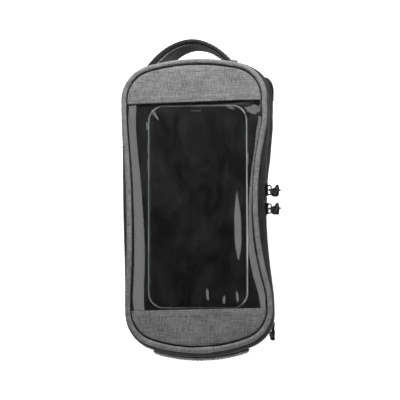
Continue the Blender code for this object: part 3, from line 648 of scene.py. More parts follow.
def rectangle(half_width, low, high):
    """A plain rectangle as a plan."""
    corners = np.array([(-half_width, low), (half_width, low), (half_width, high), (-half_width, high)])
    return Plan(lambda y: (-half_width, half_width), low, high, corners)


def rim_distance(points, rim):
    """Distance of each point from the nearest stretch of a closed outline."""
    nearest = np.full(len(points), np.inf)
    for start, end in zip(rim, np.roll(rim, -1, 0)):
        along = end - start
        share = np.clip((points - start) @ along / max(1e-12, along @ along), 0, 1)
        nearest = np.minimum(nearest, np.linalg.norm(points - start - share[:, None] * along, axis=1))
    return nearest


def flat_rows(plan, height, thickness, columns=60, step=1.5 * MM, edge=0.6):
    """Rows of a flat cloth. height(x, y, rim, line) is its middle: rim is the distance to the outline, line
    the distance to the straight cuts."""
    count = max(6, round((plan.high - plan.low) / step))
    share = eased(count, 0.35 if len(plan.rim) < 5 else 1.0)
    across = eased(columns, 0.35)
    lead = 0.1 * MM
    rows = []
    for y in plan.low + lead + (plan.high - plan.low - 2 * lead) * share:
        left, right = plan.sides(y)
        x = left + (right - left) * across
        flat = np.stack([x, np.full(columns, y)], 1)
        rim = rim_distance(flat, plan.rim)
        line = min(y - plan.low, plan.high - y)
        near = np.minimum(np.minimum(rim, line) / (thickness * edge), 1)
        half = thickness / 2 * np.maximum(0.12, np.sqrt(1 - (1 - near) ** 2))
        middle = np.array([height(a, y, d, line) for a, d in zip(x, rim)])
        top, bottom = np.column_stack([flat, middle + half]), np.column_stack([flat, middle - half])
        rows.append(np.concatenate([top, bottom[::-1]]))
    return np.array(rows)


def flat_cloth(name, plan, height, thickness, look, body, stands_for, slot, **more):
    """A flat cloth piece; see flat_rows."""
    rows = flat_rows(plan, height, thickness, **more)
    return shaped(name, rows, look, body, stands_for, slot, section=False, caps=True, plan_uv=True)


# ---------------------------------------------------------------- body of the bag
def smooth(value, low, high):
    """From 0 at low to 1 at high, smoothly."""
    share = min(1.0, max(0.0, (value - low) / (high - low)))
    return share * share * (3 - 2 * share)


def swell(point):
    """How far the padded wall stands out: most at the right side's front half and its corner."""
    x, y, z = point
    rise = smooth(z, 14 * MM, 38 * MM)
    if x < 0:
        return 3.5 * MM * rise * smooth(y, -5 * MM, -40 * MM) * smooth(y, -108 * MM, -84 * MM)
    along = smooth(y, -25 * MM, 50 * MM) * smooth(x, 20 * MM, 43 * MM)
    rim = 1 - 0.45 * smooth(z, 40 * MM, 44 * MM)
    return (4.0 + 1.8 * smooth(y, 70 * MM, 100 * MM)) * MM * along * rise * rim


def wall_crease(point, share):
    """Padding that gives a little, with soft folds rising from the base."""
    broad = wrinkle(point, (24 * MM, 24 * MM, 30 * MM), 1.7)
    folds = wrinkle(point, (9 * MM, 9 * MM, 22 * MM), 5.3)
    fine = wrinkle(point, (3.5 * MM, 3.5 * MM, 5 * MM), 9.1)
    return (0.75 * broad + 0.35 * folds + 0.08 * fine) * MM + swell(point)


def make_walls():
    """Outer wall, its lining and the seam round the base."""
    rows = band_rows(5.1 * MM, 43.7 * MM, 0.3 * MM, 3.2 * MM, count=30, bulge=0.7 * MM,
                     crease=wall_crease, back=8)
    wall = shaped("outer_wall", rows, "black", "bag", ["side_wall"], "black_fabric")
    rows = band_rows(5.1 * MM, 43.6 * MM, 4.0 * MM, 0.7 * MM, count=14, bulge=-0.2 * MM,
                     crease=lambda p, s: 0.12 * MM * wrinkle(p, (9 * MM, 9 * MM, 12 * MM), 3.3), back=4)
    shaped("inner_wall_cloth", rows, "lining", "bag", ["wall_lining"], "lining_fabric")
    mesh = welt_mesh("base_welt", ring(3.1 * MM, 0.6 * MM), 1.6 * MM, 0.05 * MM)
    piece_from("base_welt", mesh, "band", "bag", ["base_seam_cord"])
    path = ring(41.3 * MM)
    normals = outward(path)
    path = path + normals * np.array([0.75 * MM + wall_crease(p, 0.94) for p in path])[:, None]
    sewn("wall_stitches", path, normals, "thread", "bag", "black_fabric", closed=True)


def welt_mesh(name, path, radius, pucker, join_at=0.0, join=0.0, sides=14):
    """A cord covered in cloth along a closed path, lightly puckered, thicker by join where its ends overlap."""
    normal = outward(path)
    along = lengths(path, closed=True)
    rows = []
    for k in range(sides):
        angle = math.tau * k / sides
        row = []
        for i, point in enumerate(path):
            pull = pucker * (wrinkle((along[i], angle * 2 * MM, 0), (3.2 * MM, 2.2 * MM, 1), 2.2)
                             + 0.6 * wrinkle((along[i], angle * 4 * MM, 0), (11 * MM, 9 * MM, 1), 6.6))
            r = radius + pull
            off = abs(point[0] - join_at)
            if off < 7 * MM and point[1] < 0:
                r += join * min(1.0, (7 * MM - off) / (1.2 * MM))
            row.append(point + normal[i] * (r * math.cos(angle)) + np.array([0, 0, r * math.sin(angle)]))
        rows.append(row)
    return grid_mesh(name, np.array(rows))


def dot_mesh(name, spots, radius):
    """Raised dots under the base, each narrowing towards the ground."""
    vertices, faces, sides = [], [], 10
    for x, y in spots:
        base = len(vertices)
        for size, z in ((1.0, 0.5), (0.92, 0.2), (0.6, 0.03)):
            for k in range(sides):
                angle, r = math.tau * k / sides, radius * size
                vertices.append((x + r * math.cos(angle), y + r * math.sin(angle), z * MM))
        for start in (base, base + sides):
            for k in range(sides):
                a, b = start + k, start + (k + 1) % sides
                faces.append([a, b, b + sides, a + sides])
        faces += [[base + k for k in range(sides)], [base + 2 * sides + k for k in range(sides)]]
    return finished_mesh(name, vertices, faces)


def make_base():
    """Shell, grip sheet with its raised dots, stiffener, magnets and the floor's cloth."""
    flat_cloth("base_cloth", plan_of(2.0 * MM, 2.4 * MM), lambda x, y, d, line: 2.05 * MM, 1.5 * MM,
               "band", "bag", ["base_shell"], "black_fabric", columns=24, step=5 * MM)
    plan = plan_of(1 * MM, 6 * MM)
    rows = flat_rows(plan, lambda x, y, d, line: 0.72 * MM, 0.56 * MM, columns=24, step=5 * MM)
    parts = [grid_mesh("grip_underside", rows, section=False, caps=True, plan_uv=True)]
    pitch, radius = 5.0 * MM, 1.25 * MM
    places = [(i + (j % 2) / 2, j * 0.866) for j in range(-25, 26) for i in range(-12, 13)]
    spots = np.array(places) * pitch
    inside = np.array([plan.low < y < plan.high and plan.sides(y)[0] < x < plan.sides(y)[1] for x, y in spots])
    parts.append(dot_mesh("grip_dots", spots[inside & (rim_distance(spots, plan.rim) > 4 * MM)], radius))
    piece_from("grip_underside", joined(parts), "rubber", "bag", ["base_grip_sheet"])
    dress("base_stiffener", "board")
    for place in ("front_left", "front_right", "rear_left", "rear_right"):
        dress(f"magnet_{place}", "steel")

    def floor_height(x, y, d, line):
        return 7.0 * MM + 0.12 * MM * wrinkle((x, y, 0), (14 * MM, 20 * MM, 1), 4.4)

    flat_cloth("floor_cloth", plan_of(7 * MM, 5.2 * MM), floor_height, 1.0 * MM, "lining", "bag",
               ["compartment_floor"], "lining_fabric", columns=40, step=3 * MM)


def dress(node, look):
    """Gives a CAD node its finished material."""
    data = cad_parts[node].data
    data.materials.clear()
    data.materials.append(LOOKS[look])


def rear_point(z, x, lift):
    """A point on the rear end's wall at x, lifted outwards."""
    points = ring(z, -lift)
    first = 2 * SIDE_STEPS + 2 * CORNER_STEPS + END_STEPS
    rear = points[first:]
    order = np.argsort(rear[:, 0])
    return np.array([x, np.interp(x, rear[order, 0], rear[order, 1]), z])


def front_line(z, xs, lift):
    """The y of the front end's wall at each x, lifted outwards."""
    points = ring(z, -lift)
    front = points[SIDE_STEPS:SIDE_STEPS + 2 * CORNER_STEPS + END_STEPS]
    order = np.argsort(front[:, 0])
    ys = np.interp(xs, front[order, 0], front[order, 1])
    return ys + np.array([swell((x, y, z)) for x, y in zip(xs, ys)])


def front_point(z, x, lift):
    """A point on the front end's wall at x, lifted outwards."""
    return np.array([x, front_line(z, [x], lift)[0], z])


def on_wall(point_at, left, right, bottom, top, lift, thickness, columns, rows, puff, seed, amp):
    """Rows of a patch lying on an end wall: its edges rounded, its middle raised by puff and rippled by amp."""
    made = []
    for s in eased(columns):
        outer, inner = [], []
        for t in eased(rows):
            z = bottom + (top - bottom) * t
            x = left(t) + (right(t) - left(t)) * s
            d = min(min(s, 1 - s) * (right(t) - left(t)), min(t, 1 - t) * (top - bottom))
            grow = thickness * max(0.15, math.sqrt(1 - (1 - min(1, d / (thickness * 0.8))) ** 2))
            ripple = amp * min(1, d / (3 * MM)) * wrinkle((x, z, 0), (12 * MM, 7 * MM, 1), seed)
            outer.append(point_at(z, x, lift + grow + (puff * min(1.0, d / (8 * MM)) + ripple)))
            inner.append(point_at(z, x, lift))
        made.append(outer + inner[::-1])
    return np.array(made)


def make_rear_patch():
    """Grey patch on the rear wall, its folded edge sewn down."""
    bottom, top, inset = 8 * MM, 42.3 * MM, 2.2 * MM

    def left(t):
        return -(35.5 + 3.3 * t) * MM

    def right(t):
        return (33.5 + 3.3 * t) * MM

    rows = on_wall(rear_point, left, right, bottom, top, 0.8 * MM, 2.0 * MM, columns=70, rows=26,
                   puff=0.9 * MM, seed=3.0, amp=0.35 * MM)
    shaped("rear_patch_cloth", rows, "patch", "bag", ["rear_patch"], "heather_fabric", section=False, caps=True)
    low, high = 0.06, 0.94
    route = [(t, left(t) + inset) for t in np.linspace(low, high, 18)]
    start, end = left(high) + inset, right(high) - inset
    route += [(high, start + (end - start) * s) for s in np.linspace(0.03, 0.97, 40)]
    route += [(t, right(t) - inset) for t in np.linspace(high, low, 18)]
    path = np.array([rear_point(bottom + (top - bottom) * t, x, 3.1 * MM) for t, x in route])
    normals = np.tile((0.0, -1.0, 0.1), (len(path), 1))
    sewn("patch_stitches", path, normals, "pale_thread", "bag", "heather_fabric")


HANDLE_X, HANDLE_Z, HANDLE_HALF = -5.3 * MM, 28 * MM, 38.2 * MM
HANDLE_WIDTH, HANDLE_THICKNESS = 20 * MM, 3.2 * MM
LOW_EDGE = (0.8 * MM, 131.7 * MM, 21.5, 21.5)  # x and y of the apex, bend to its left, bend to its right
TOP_EDGE = (-4.0 * MM, 135.6 * MM, 15.9, 18.3)


def strap_line(up, across):
    """The strap's middle along x, at its lower edge (up = -1) to its upper one; its ends settle on the wall."""
    x = HANDLE_X + across
    edges = []
    for apex_x, apex_y, left, right in (LOW_EDGE, TOP_EDGE):
        edges.append(apex_y - np.where(x < apex_x, left, right) * (x - apex_x) ** 2)
    y = edges[0] + (edges[1] - edges[0]) * (up + 1) / 2 - HANDLE_THICKNESS / 2
    z = HANDLE_Z + HANDLE_WIDTH / 2 * up
    wall = front_line(z, x, 0) + 3.0 * MM
    softness = 1.0 * MM
    y = wall + softness * np.logaddexp(0, (y - wall) / softness)
    ends = np.array([smooth(abs(a) / HANDLE_HALF, 0.93, 1.0) for a in across])
    pinch = np.array([smooth(abs(a) / HANDLE_HALF, 0.66, 0.97) for a in across])
    heights = HANDLE_Z + HANDLE_WIDTH / 2 * up * (1 - 0.24 * pinch)
    return np.column_stack([x, y + (wall - 1.1 * MM - y) * ends, heights])


def make_handle():
    """Ribbed strap in a folded cover sewn along its edges."""
    across = np.linspace(-HANDLE_HALF, HANDLE_HALF, 96)

    def line(up, out):
        middle = strap_line(up, across)
        normal = -sideways(np.gradient(middle, axis=0))
        give = np.array([0.18 * MM * wrinkle((p[0], p[2], 0), (9 * MM, 6 * MM, 1), 7.7) for p in middle])
        return middle + normal * (out * HANDLE_THICKNESS / 2 + give)[:, None], normal

    band = [(-0.98, 0.30), (-0.6, 0.36), (0.0, 0.40), (0.6, 0.36), (0.93, 0.30), (0.93, -0.55), (0.6, -0.62),
            (0.35, -0.72), (0, -0.86), (-0.35, -0.92), (-0.75, -0.90), (-0.93, -0.80), (-1.0, -0.45)]
    rows = np.array([line(up, out)[0] for up, out in band])
    shaped("strap", rows, "ribs", "handle", ["carry_handle"], "black_webbing", around=False, caps=True)
    cover = [(-0.97, 0.5), (-0.98, 0.86), (-0.9, 0.98), (-0.5, 1.04), (0.2, 1.06), (0.8, 1.02), (0.97, 0.9),
             (1.06, 0.5), (1.08, 0), (1.06, -0.5), (0.99, -0.86), (0.9, -1.0), (0.78, -1.06), (0.66, -1.0),
             (0.60, -0.84), (0.62, -0.60), (0.9, -0.55), (0.95, 0.0), (0.9, 0.34), (0.0, 0.44)]
    rows = np.array([line(up, out)[0] for up, out in cover])
    shaped("strap_cover", rows, "cover", "handle", (), "black_webbing", around=False, caps=True)
    thread = {"length": 2.6 * MM, "gap": 0.5 * MM, "radius": 0.40 * MM, "lift": 0}
    for name, look, side, seams in (
        ("strap_stitches", "pale_thread", 1, ((0.80, 1.03), (-0.80, 1.0))),
        ("strap_inner_stitches", "strap_thread", -1, ((0.70, -1.05), (-0.80, -0.92))),
    ):
        parts = []
        for up, out in seams:
            path, normals = line(up, out)
            parts.append(stitches(name, path, normals * side, **thread))
        piece_from(name, joined(parts), look, "handle", ())


def make_anchors():
    """The webbing patches that hold the handle's ends, each sewn down with a box and a diagonal."""
    seams = []
    for side, name, top in ((1, "right", 34.0 * MM), (-1, "left", 37.4 * MM)):
        start = HANDLE_X + side * (HANDLE_HALF - 1.2 * MM)
        ends = sorted((start, start + side * 11 * MM))
        rows = on_wall(front_point, lambda t: ends[0], lambda t: ends[1], 17.6 * MM, top, 0.3 * MM, 1.6 * MM,
                       columns=22, rows=22, puff=0.2 * MM, seed=side * 2.0, amp=0.1 * MM)
        shaped(f"anchor_{name}", rows, "webbing", "bag", [f"handle_anchor_{name}"], "black_webbing",
               section=False, caps=True)
        inset = 2 * MM
        low, high = ends[0] + inset, ends[1] - inset
        route = (low, 20), (high, 20), (high, 32), (low, 32), (low, 20), (high, 32)
        box = np.array([(x, 0, z * MM) for x, z in route])
        path = np.array([front_point(z, x, 2.0 * MM) for x, _, z in resample(box, 1 * MM)])
        seams.append(stitches(f"anchor_seam_{name}", path, np.tile((0.0, 1.0, 0.0), (len(path), 1))))
    piece_from("anchor_stitches", joined(seams), "pale_thread", "bag", ())


# ---------------------------------------------------------------- mesh pocket
POCKET_REACH, POCKET_BOTTOM, POCKET_TOP = 98.5 * MM, 7.0 * MM, 25.7 * MM
POCKET_BACK_FRONT, POCKET_BACK_REAR = 95.2 * MM, 94.0 * MM


def pocket_path(z, lift, step=0.5 * MM):
    """The pocket's route at height z from its rear fold to its front one, evenly spaced."""
    level = level_at(z)
    ends = []
    for sign, reach, radius, back in ((1, level.front, FRONT_RADIUS, POCKET_BACK_FRONT),
                                      (-1, level.rear, REAR_RADIUS, POCKET_BACK_REAR)):
        corner_y = end_stretches(level.half_width, reach, radius, CORNER_RADIUS)[0]
        drop = back - corner_y
        wall_x = level.half_width - CORNER_RADIUS + math.sqrt(CORNER_RADIUS**2 - drop**2)
        ends.append((wall_x + 0.8 * MM, sign * (back + 0.3 * MM)))
    y = np.linspace(-POCKET_REACH - 7 * MM, POCKET_REACH - 1.5 * MM, 90)
    x = level.half_width - level.waist_right * waist(y) + 1.2 * MM + lift
    flare = 1.3 * MM * smooth(z, 3 * MM, 24 * MM)
    x += [swell((x[0], each, z)) + flare * smooth(each, -58 * MM, -98 * MM) for each in y]
    rear_fold, front_fold = (x[0] - 0.9 * MM, y[0] - 1.3 * MM), (x[-1] - 0.7 * MM, POCKET_REACH)
    points = [ends[1], rear_fold, *np.stack([x, y], 1).tolist(), front_fold, ends[0]]
    return resample(np.array([(x, y, z) for x, y in points]), step)


def make_net():
    """The pocket's open net of hexagons, between its low and its high route."""
    low, high = pocket_path(POCKET_BOTTOM, 0.2 * MM), pocket_path(POCKET_TOP, 0.2 * MM)
    low_along, high_along = lengths(low), lengths(high)
    size, length, height = 1.05 * MM, low_along[-1], POCKET_TOP - POCKET_BOTTOM
    shape = bmesh.new()
    corner_at = {}

    def corner(s, t):
        key = (round(s / (0.05 * MM)), round(t / (0.05 * MM)))
        if key not in corner_at:
            a = on_path(low, low_along, min(max(s, 0), length))
            b = on_path(high, high_along, min(max(s, 0), high_along[-1]) * high_along[-1] / length)
            point = a + (b - a) * min(1.0, max(0.0, t / height))
            point[0] += 0.35 * MM * noise.noise(Vector((s / (14 * MM), t / (9 * MM), 3.3)))
            corner_at[key] = shape.verts.new(point)
        return corner_at[key]

    for i in range(int(length / (size * 1.5))):
        for j in range(int(height / (size * math.sqrt(3))) + 1):
            centre = (size * (1.5 * i + 1), size * math.sqrt(3) * (j + 0.5 * (i % 2)))
            angles = [k * math.pi / 3 for k in range(6)]
            hexagon = [(centre[0] + size * math.cos(a), centre[1] + size * math.sin(a)) for a in angles]
            end, top = (max(values) for values in zip(*hexagon))
            if end > length or top > height + size * 0.3:
                continue
            verts = [corner(*p) for p in hexagon]
            if len(set(verts)) == 6:
                shape.faces.new(verts)
    net = bpy.data.objects.new("net", mesh_of(shape, "net"))
    bpy.context.scene.collection.objects.link(net)
    wire = net.modifiers.new("threads", "WIREFRAME")
    wire.thickness = 0.42 * MM
    wire.use_even_offset = False
    solid = bpy.data.meshes.new_from_object(net.evaluated_get(bpy.context.evaluated_depsgraph_get()))
    bpy.data.objects.remove(net)
    solid.shade_smooth()
    solid.uv_layers.new(name="cloth")
    net = piece_from("side_net", solid, "net", "bag", ["mesh_pocket"])


def pocket_ribbon(name, bottom, top, lift, thickness, look, stands_for, slot, ruffle=0.0):
    """A ribbon folded over the net along the pocket's route, pushed to and fro by ruffle."""
    rows = []
    for t, out in ((0.0, 0.2), (0.06, 0.8), (0.25, 1.0), (0.5, 1.02), (0.75, 1.0), (0.94, 0.8), (1.0, 0.2),
                   (0.94, -0.5), (0.5, -0.6), (0.06, -0.5)):
        path = pocket_path(bottom + (top - bottom) * t, lift + out * thickness / 2, step=1.0 * MM)
        path = resample(path, lengths(path)[-1] / 230)
        along = lengths(path)
        wave = ruffle * np.sin(along / (3.1 * MM) * math.pi + 0.8 * np.sin(along / (17 * MM)))
        rows.append(path + np.array([1.0, 0, 0]) * wave[:, None] * (0.5 + 0.5 * abs(out)))
    shaped(name, rows, look, "bag", stands_for, slot, around=False, caps=True)


def make_tab():
    """The cloth tab inside the pocket's front fold, its top corner rounded off."""
    sections = []
    for share in eased(22):
        z = 7.2 * MM + 30.6 * MM * share
        level = level_at(z)
        corner_y = end_stretches(level.half_width, level.front, FRONT_RADIUS, CORNER_RADIUS)[0]
        round_off = 1 - math.sqrt(max(0.0, 1 - (max(0.0, share - 0.62) / 0.40) ** 2))
        wall, sheet = [], []
        for s in np.linspace(0, 1, 12):
            y = 95.5 * MM - (9.5 + 3 * round_off) * MM * s - 3 * MM * round_off
            x = level.half_width - CORNER_RADIUS + math.sqrt(CORNER_RADIUS**2 - (y - corner_y) ** 2)
            wall.append((x + 0.4 * MM + swell((x, y, z)), y, z))
        for s in np.linspace(0, 1, 20):
            angle = s * math.pi / 2
            y = (84.5 - 1.5 * round_off) * MM + (19.8 - 8.5 * round_off) * MM * math.sin(angle) ** 0.85
            x = level.half_width + (1.6 - 5.4 * (1 - math.cos(angle)) ** 1.4 - 2.0 * round_off) * MM
            sheet.append((x + swell((x, y, z)), y, z))
        sections.append(wall + sheet)
    shaped("pocket_tab", sections, "black", "bag", ["pocket_end_tab"], "black_fabric", section=False, caps=True)


def make_pocket():
    """Open net with bound edges, an elastic hem and the tab inside its front fold."""
    make_net()
    pocket_ribbon("pocket_elastic", 25.9 * MM, 30.2 * MM, 0.1 * MM, 1.6 * MM, "elastic", ["pocket_hem"],
                  "black_webbing", ruffle=0.22 * MM)
    pocket_ribbon("pocket_binding", 6.2 * MM, 9.4 * MM, 0.3 * MM, 1.3 * MM, "band", (), "black_fabric")
    make_tab()


# ---------------------------------------------------------------- zip
ZIP_Z = 52 * MM
HINGE_HALF = 26.9 * MM


def stretch_of(points, columns):
    """The columns of a closed outline, in order."""
    return points[np.asarray(columns) % RING_POINTS]


def coil(name, middle_z, direction, shift, columns):
    """One half of the zip's nylon coil: a wire wound round the tape's edge, its heads to the other half."""
    centre = resample(stretch_of(ring(middle_z, 1.7 * MM), columns), 1.75 * MM)
    turns, steps = len(centre) - 1, 12
    at = (np.arange(turns * steps) / steps + shift)[: (turns - 1) * steps]
    path = on_path(centre, np.arange(len(centre)), at)
    normal = sideways(np.gradient(path, axis=0))
    angle = math.tau * (at - shift)
    high = 1.15 * MM * np.cos(angle) * direction
    path = path + normal * (0.85 * MM * np.sin(angle))[:, None] + np.array([0, 0, 1.0]) * high[:, None]
    return tube_mesh(name, path, 0.34 * MM, sides=6)


def make_zip():
    """Tapes and coils of the zip, and the cloth hinge at the middle of the front end."""
    hinge = front_columns(HINGE_HALF)
    run = np.arange(hinge[-1], hinge[0] + RING_POINTS + 1)

    def tape_crease(point, share):
        return 0.16 * MM * wrinkle(point, (7 * MM, 7 * MM, 6 * MM), 2.9)

    for half, body, bottom, top, middle, direction, shift, stitch_levels in (
        ("lower", "bag", 44.0, 50.4, 50.9, 1, 0.0, (44.0 + 1.3, 44.0 + 2.6)),
        ("upper", "lid", 53.6, 58.7, 53.1, -1, 0.5, (58.7 - 1.2, 58.7 - 2.4)),
    ):
        rows = band_rows(bottom * MM, top * MM, 1.35 * MM, 0.8 * MM, count=12, crease=tape_crease,
                         columns=run % RING_POINTS)
        shaped(f"{half}_tape", rows, "tape", body, [f"{half}_zip_tape"], "zip_tape", around=False, caps=True)
        piece_from(f"{half}_coil", coil(f"{half}_coil", middle * MM, direction, shift, run), "coil", body,
                   [f"{half}_zip_teeth"])
        for level in stitch_levels:
            points = ring(level * MM, 1.35 * MM)
            path, normals = stretch_of(points, run), stretch_of(outward(points), run)
            name = f"{half}_tape_stitches_{level:.1f}".replace(".", "_")
            sewn(name, path, normals, "thread", body, "zip_tape", length=1.9 * MM, gap=0.7 * MM, lift=0.1 * MM)

    rows = band_rows(44.0 * MM, 58.8 * MM, 0.9 * MM, 1.1 * MM, count=34, bulge=0.35 * MM, columns=hinge,
                     crease=lambda p, s: 0.25 * MM * wrinkle(p, (11 * MM, 11 * MM, 5 * MM), 4.1), back=34)
    cloth = shaped("hinge_cloth", rows, "band", None, ["hinge_strip_lower", "hinge_strip_upper"],
                   "black_fabric", around=False, caps=True)
    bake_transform(cloth)


def softened(node, width):
    """A copy of a CAD node's mesh with its sharp edges rounded."""
    shape = bmesh.new()
    shape.from_mesh(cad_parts[node].data)
    bmesh.ops.remove_doubles(shape, verts=shape.verts, dist=0.005 * MM)
    bmesh.ops.dissolve_limit(shape, angle_limit=math.radians(4), verts=shape.verts, edges=shape.edges)
    edges = [e for e in shape.edges if len(e.link_faces) == 2 and e.calc_face_angle(0) > math.radians(35)]
    bmesh.ops.bevel(shape, geom=edges, offset=width, segments=3, affect="EDGES", profile=0.5,
                    clamp_overlap=True, loop_slide=True)
    bmesh.ops.recalc_face_normals(shape, faces=shape.faces)
    mesh = mesh_of(shape, node)
    while mesh.uv_layers:
        mesh.uv_layers.remove(mesh.uv_layers[0])
    mesh.uv_layers.new(name="cloth")
    mesh.materials.clear()
    mesh.shade_smooth()
    mesh.set_sharp_from_angle(angle=math.radians(55))
    return mesh


# x and y of the bars the pulls swing on
PULL_PLACES = {"front": (55.969 * MM, 10.883 * MM), "rear": (55.734 * MM, -3.504 * MM)}
EYE_REACH, LOOP_DROP, CORD_RADIUS = 6.9 * MM, 16 * MM, 0.95 * MM  # the loop's top from its bar, its length
LOOP_RADIUS, LOOP_NECK = 4.0 * MM, 1.15 * MM  # half its width at the top and at its foot
PULL_END = (  # radius and height of the moulded end, in mm, from the foot of its loop
    (1.0, 0.15), (2.3, 0), (2.9, -0.35), (3.3, -1.2), (3.45, -2.0), (3.1, -2.35), (3.1, -2.9), (3.5, -3.3),
    (3.5, -4.1), (3.15, -4.45), (3.15, -5.0), (3.5, -5.4), (3.5, -6.6), (3.2, -7.5), (2.7, -7.9), (1.9, -7.95),
    (1.7, -7.0), (1.5, -6.6),
)
PULL_LEAN = 0.22  # how far a loop swings out for each metre it hangs


def slider_axes(name):
    """(place of a pull's bar, its outward direction, its direction along the zip)."""
    x, y = PULL_PLACES[name]
    step = 0.5 * MM
    level = level_at(ZIP_Z)
    slope = -level.waist_right * (waist(y + step) - waist(y - step)) / (2 * step)
    heading = -math.atan(slope)
    outwards = np.array([math.cos(heading), math.sin(heading), 0.0])
    return np.array([x, y, ZIP_Z]), outwards, np.array([-outwards[1], outwards[0], 0.0])


def loop_route():
    """Points of a pull's cord in its plane: along the zip, and height."""
    low, high = -LOOP_DROP + 0.3 * MM, -LOOP_RADIUS
    leg = []
    for share in np.linspace(0, 1, 9, endpoint=False):
        leg.append((-LOOP_NECK - (LOOP_RADIUS - LOOP_NECK) * smooth(share, 0, 1), low + (high - low) * share))
    arch = [(LOOP_RADIUS * math.cos(a), high + LOOP_RADIUS * math.sin(a)) for a in np.linspace(math.pi, 0, 15)]
    return np.array(leg + arch + [(-a, b) for a, b in reversed(leg)])


def lathe(name, place, profile):
    """A turned shape about an upright axis, from its (radius, height) profile in mm, closed top and bottom."""
    angle = np.linspace(0, math.tau, 28, endpoint=False)
    circle = np.stack([np.cos(angle), np.sin(angle), np.zeros(28)], 1)
    rows = [place + circle * radius * MM + np.array([0, 0, height * MM]) for radius, height in profile]
    return grid_mesh(name, rows, section=False, caps=True, sharp=40)


def make_sliders():
    """Slider bodies and tabs, and the cord loops with their moulded ends."""
    for name in ("front", "rear"):
        for node, width in ((f"{name}_slider_body", 0.42 * MM), (f"{name}_slider_tab", 0.34 * MM)):
            body = f"{name}_slider" if node.endswith("body") else f"{name}_pull"
            piece_from(f"{node}_soft", softened(node, width), "metal", body, [node])
        place, outwards, along = slider_axes(name)
        route = loop_route()
        eye = place + outwards * EYE_REACH
        path = eye + route[:, :1] * along + route[:, 1:] * (np.array([0, 0, 1.0]) + PULL_LEAN * outwards)
        curve = bpy.data.curves.new(f"{name}_pull_loop", "CURVE")
        curve.dimensions, curve.use_fill_caps = "3D", True
        curve.bevel_depth, curve.bevel_resolution = CORD_RADIUS, 3
        spline = curve.splines.new("POLY")
        spline.points.add(len(path) - 1)
        for point, spot in zip(spline.points, path):
            point.co = (*spot, 1)
        spline.use_smooth = True
        body = f"{name}_pull"
        loop = piece_from(f"{name}_pull_loop", curve, "cord", body, [f"{name}_slider_cord"])
        foot = eye - outwards * PULL_LEAN * LOOP_DROP - np.array([0, 0, LOOP_DROP])
        knob = piece_from(f"{name}_pull_end", lathe(f"{name}_pull_end", foot, PULL_END), "moulded", body,
                          [f"{name}_slider_knot"])
        tuple(path[0])
        float(lengths(path)[-1])


# ---------------------------------------------------------------- lid
WINDOW_FRONT, WINDOW_REAR = 79.4 * MM, -80.4 * MM
PIPING_Z, PIPING_RADIUS = 68.9 * MM, 2.15 * MM
FILM_Z, FILM_SOFTNESS = 69.9 * MM, 0.3 * MM
ROLL_SLOPE, FACET_SLOPE, FACET_X = 0.27, 0.24, 31.6 * MM
# y along each side, and how wide the film rolls down there, in mm
LEFT_ROLL = (-80, -35, 0, 42, 60, 77), (10.2, 9.6, 8.0, 6.3, 6.4, 7.2)
RIGHT_ROLL = (
    (-80, -66, -55, -35, -15, -8, 11, 27, 42, 57, 77),
    (5.0, 6.0, 6.6, 6.0, 3.4, 2.9, 2.3, 1.8, 1.5, 3.1, 1.2),
)
CREASES = (  # x, y, turn in degrees, half width, half length, slope at its middle
    (-30.3 * MM, 70.5 * MM, 216, 2.2 * MM, 5.0 * MM, 0.22),
    (-36.5 * MM, 62.0 * MM, 190, 2.6 * MM, 6.0 * MM, 0.12),
    (45.4 * MM, 72.6 * MM, -8, 9.2 * MM, 3.0 * MM, 0.37),
    (30.0 * MM, 77.7 * MM, 90, 1.9 * MM, 7.0 * MM, 0.42),
    (7.2 * MM, -69.5 * MM, 4, 2.3 * MM, 6.4 * MM, 0.30),
    (19.8 * MM, -73.5 * MM, -6, 1.9 * MM, 3.6 * MM, 0.33),
    (29.9 * MM, -71.5 * MM, 4, 1.7 * MM, 4.2 * MM, 0.33),
)


def make_lid_frame():
    """The lid's side band and the heather piping round its top edge."""
    rows = band_rows(59 * MM, 66.2 * MM, 0.4 * MM, 2.2 * MM, count=16, bulge=0.25 * MM,
                     crease=lambda p, s: 0.22 * wrinkle(p, (8 * MM, 8 * MM, 6 * MM), 8.8) * MM, back=5)
    shaped("lid_side", rows, "band", "lid", ["lid_band"], "black_fabric")
    path = ring(60.6 * MM, 0.2 * MM)
    sewn("lid_side_stitches", path, outward(path), "thread", "lid", "black_fabric", closed=True)
    path = ring(LID_Z, PIPING_RADIUS)
    path[:, 2] = PIPING_Z
    fine = resample(path, 0.8 * MM, closed=True)
    mesh = welt_mesh("piping_cloth", fine, PIPING_RADIUS - 0.12 * MM, 0.10 * MM, join_at=3.0 * MM,
                     join=0.35 * MM, sides=20)
    piece_from("piping_cloth", mesh, "piping", "lid", ["lid_piping"])
    # A thin black cord down in the groove between the piping and the panels: it stands for the seam, and its
    # black colour is painted shade for the groove's shadow.
    gutter = ring(LID_Z, 4.75 * MM)
    gutter[:, 2] = 68.05 * MM
    fine = resample(gutter, 1.2 * MM, closed=True)
    mesh = welt_mesh("piping_seam_shade", fine, 0.7 * MM, 0.04 * MM, sides=8)
    piece_from("piping_seam_shade", mesh, "band", "lid", ())


HEM_STITCH = 1.5 * MM


def panel_height(sign):
    """Height of a heather panel: low at the piping, crowned, with a folded and sewn hem at the window."""

    def height(x, y, rim, line):
        edge = math.exp(-(((line - HEM_STITCH) / (0.4 * MM)) ** 2))
        fold = smooth(line, 5.6 * MM, 4.6 * MM)
        crown = 1.5 * (1 - math.exp(-rim / (5.5 * MM)))
        ripple = 0.30 * wrinkle((x, y, 0), (17 * MM, 12 * MM, 1), 3.0 + sign) * min(1, rim / (6 * MM))
        pucker = 0.12 * wrinkle((x, line, 0), (2.4 * MM, 5 * MM, 1), 7.0)
        pucker *= math.exp(-((line / (2.5 * MM)) ** 2))
        return 68.85 * MM + (crown + ripple + pucker + 0.30 * fold - 0.22 * edge) * MM

    return height


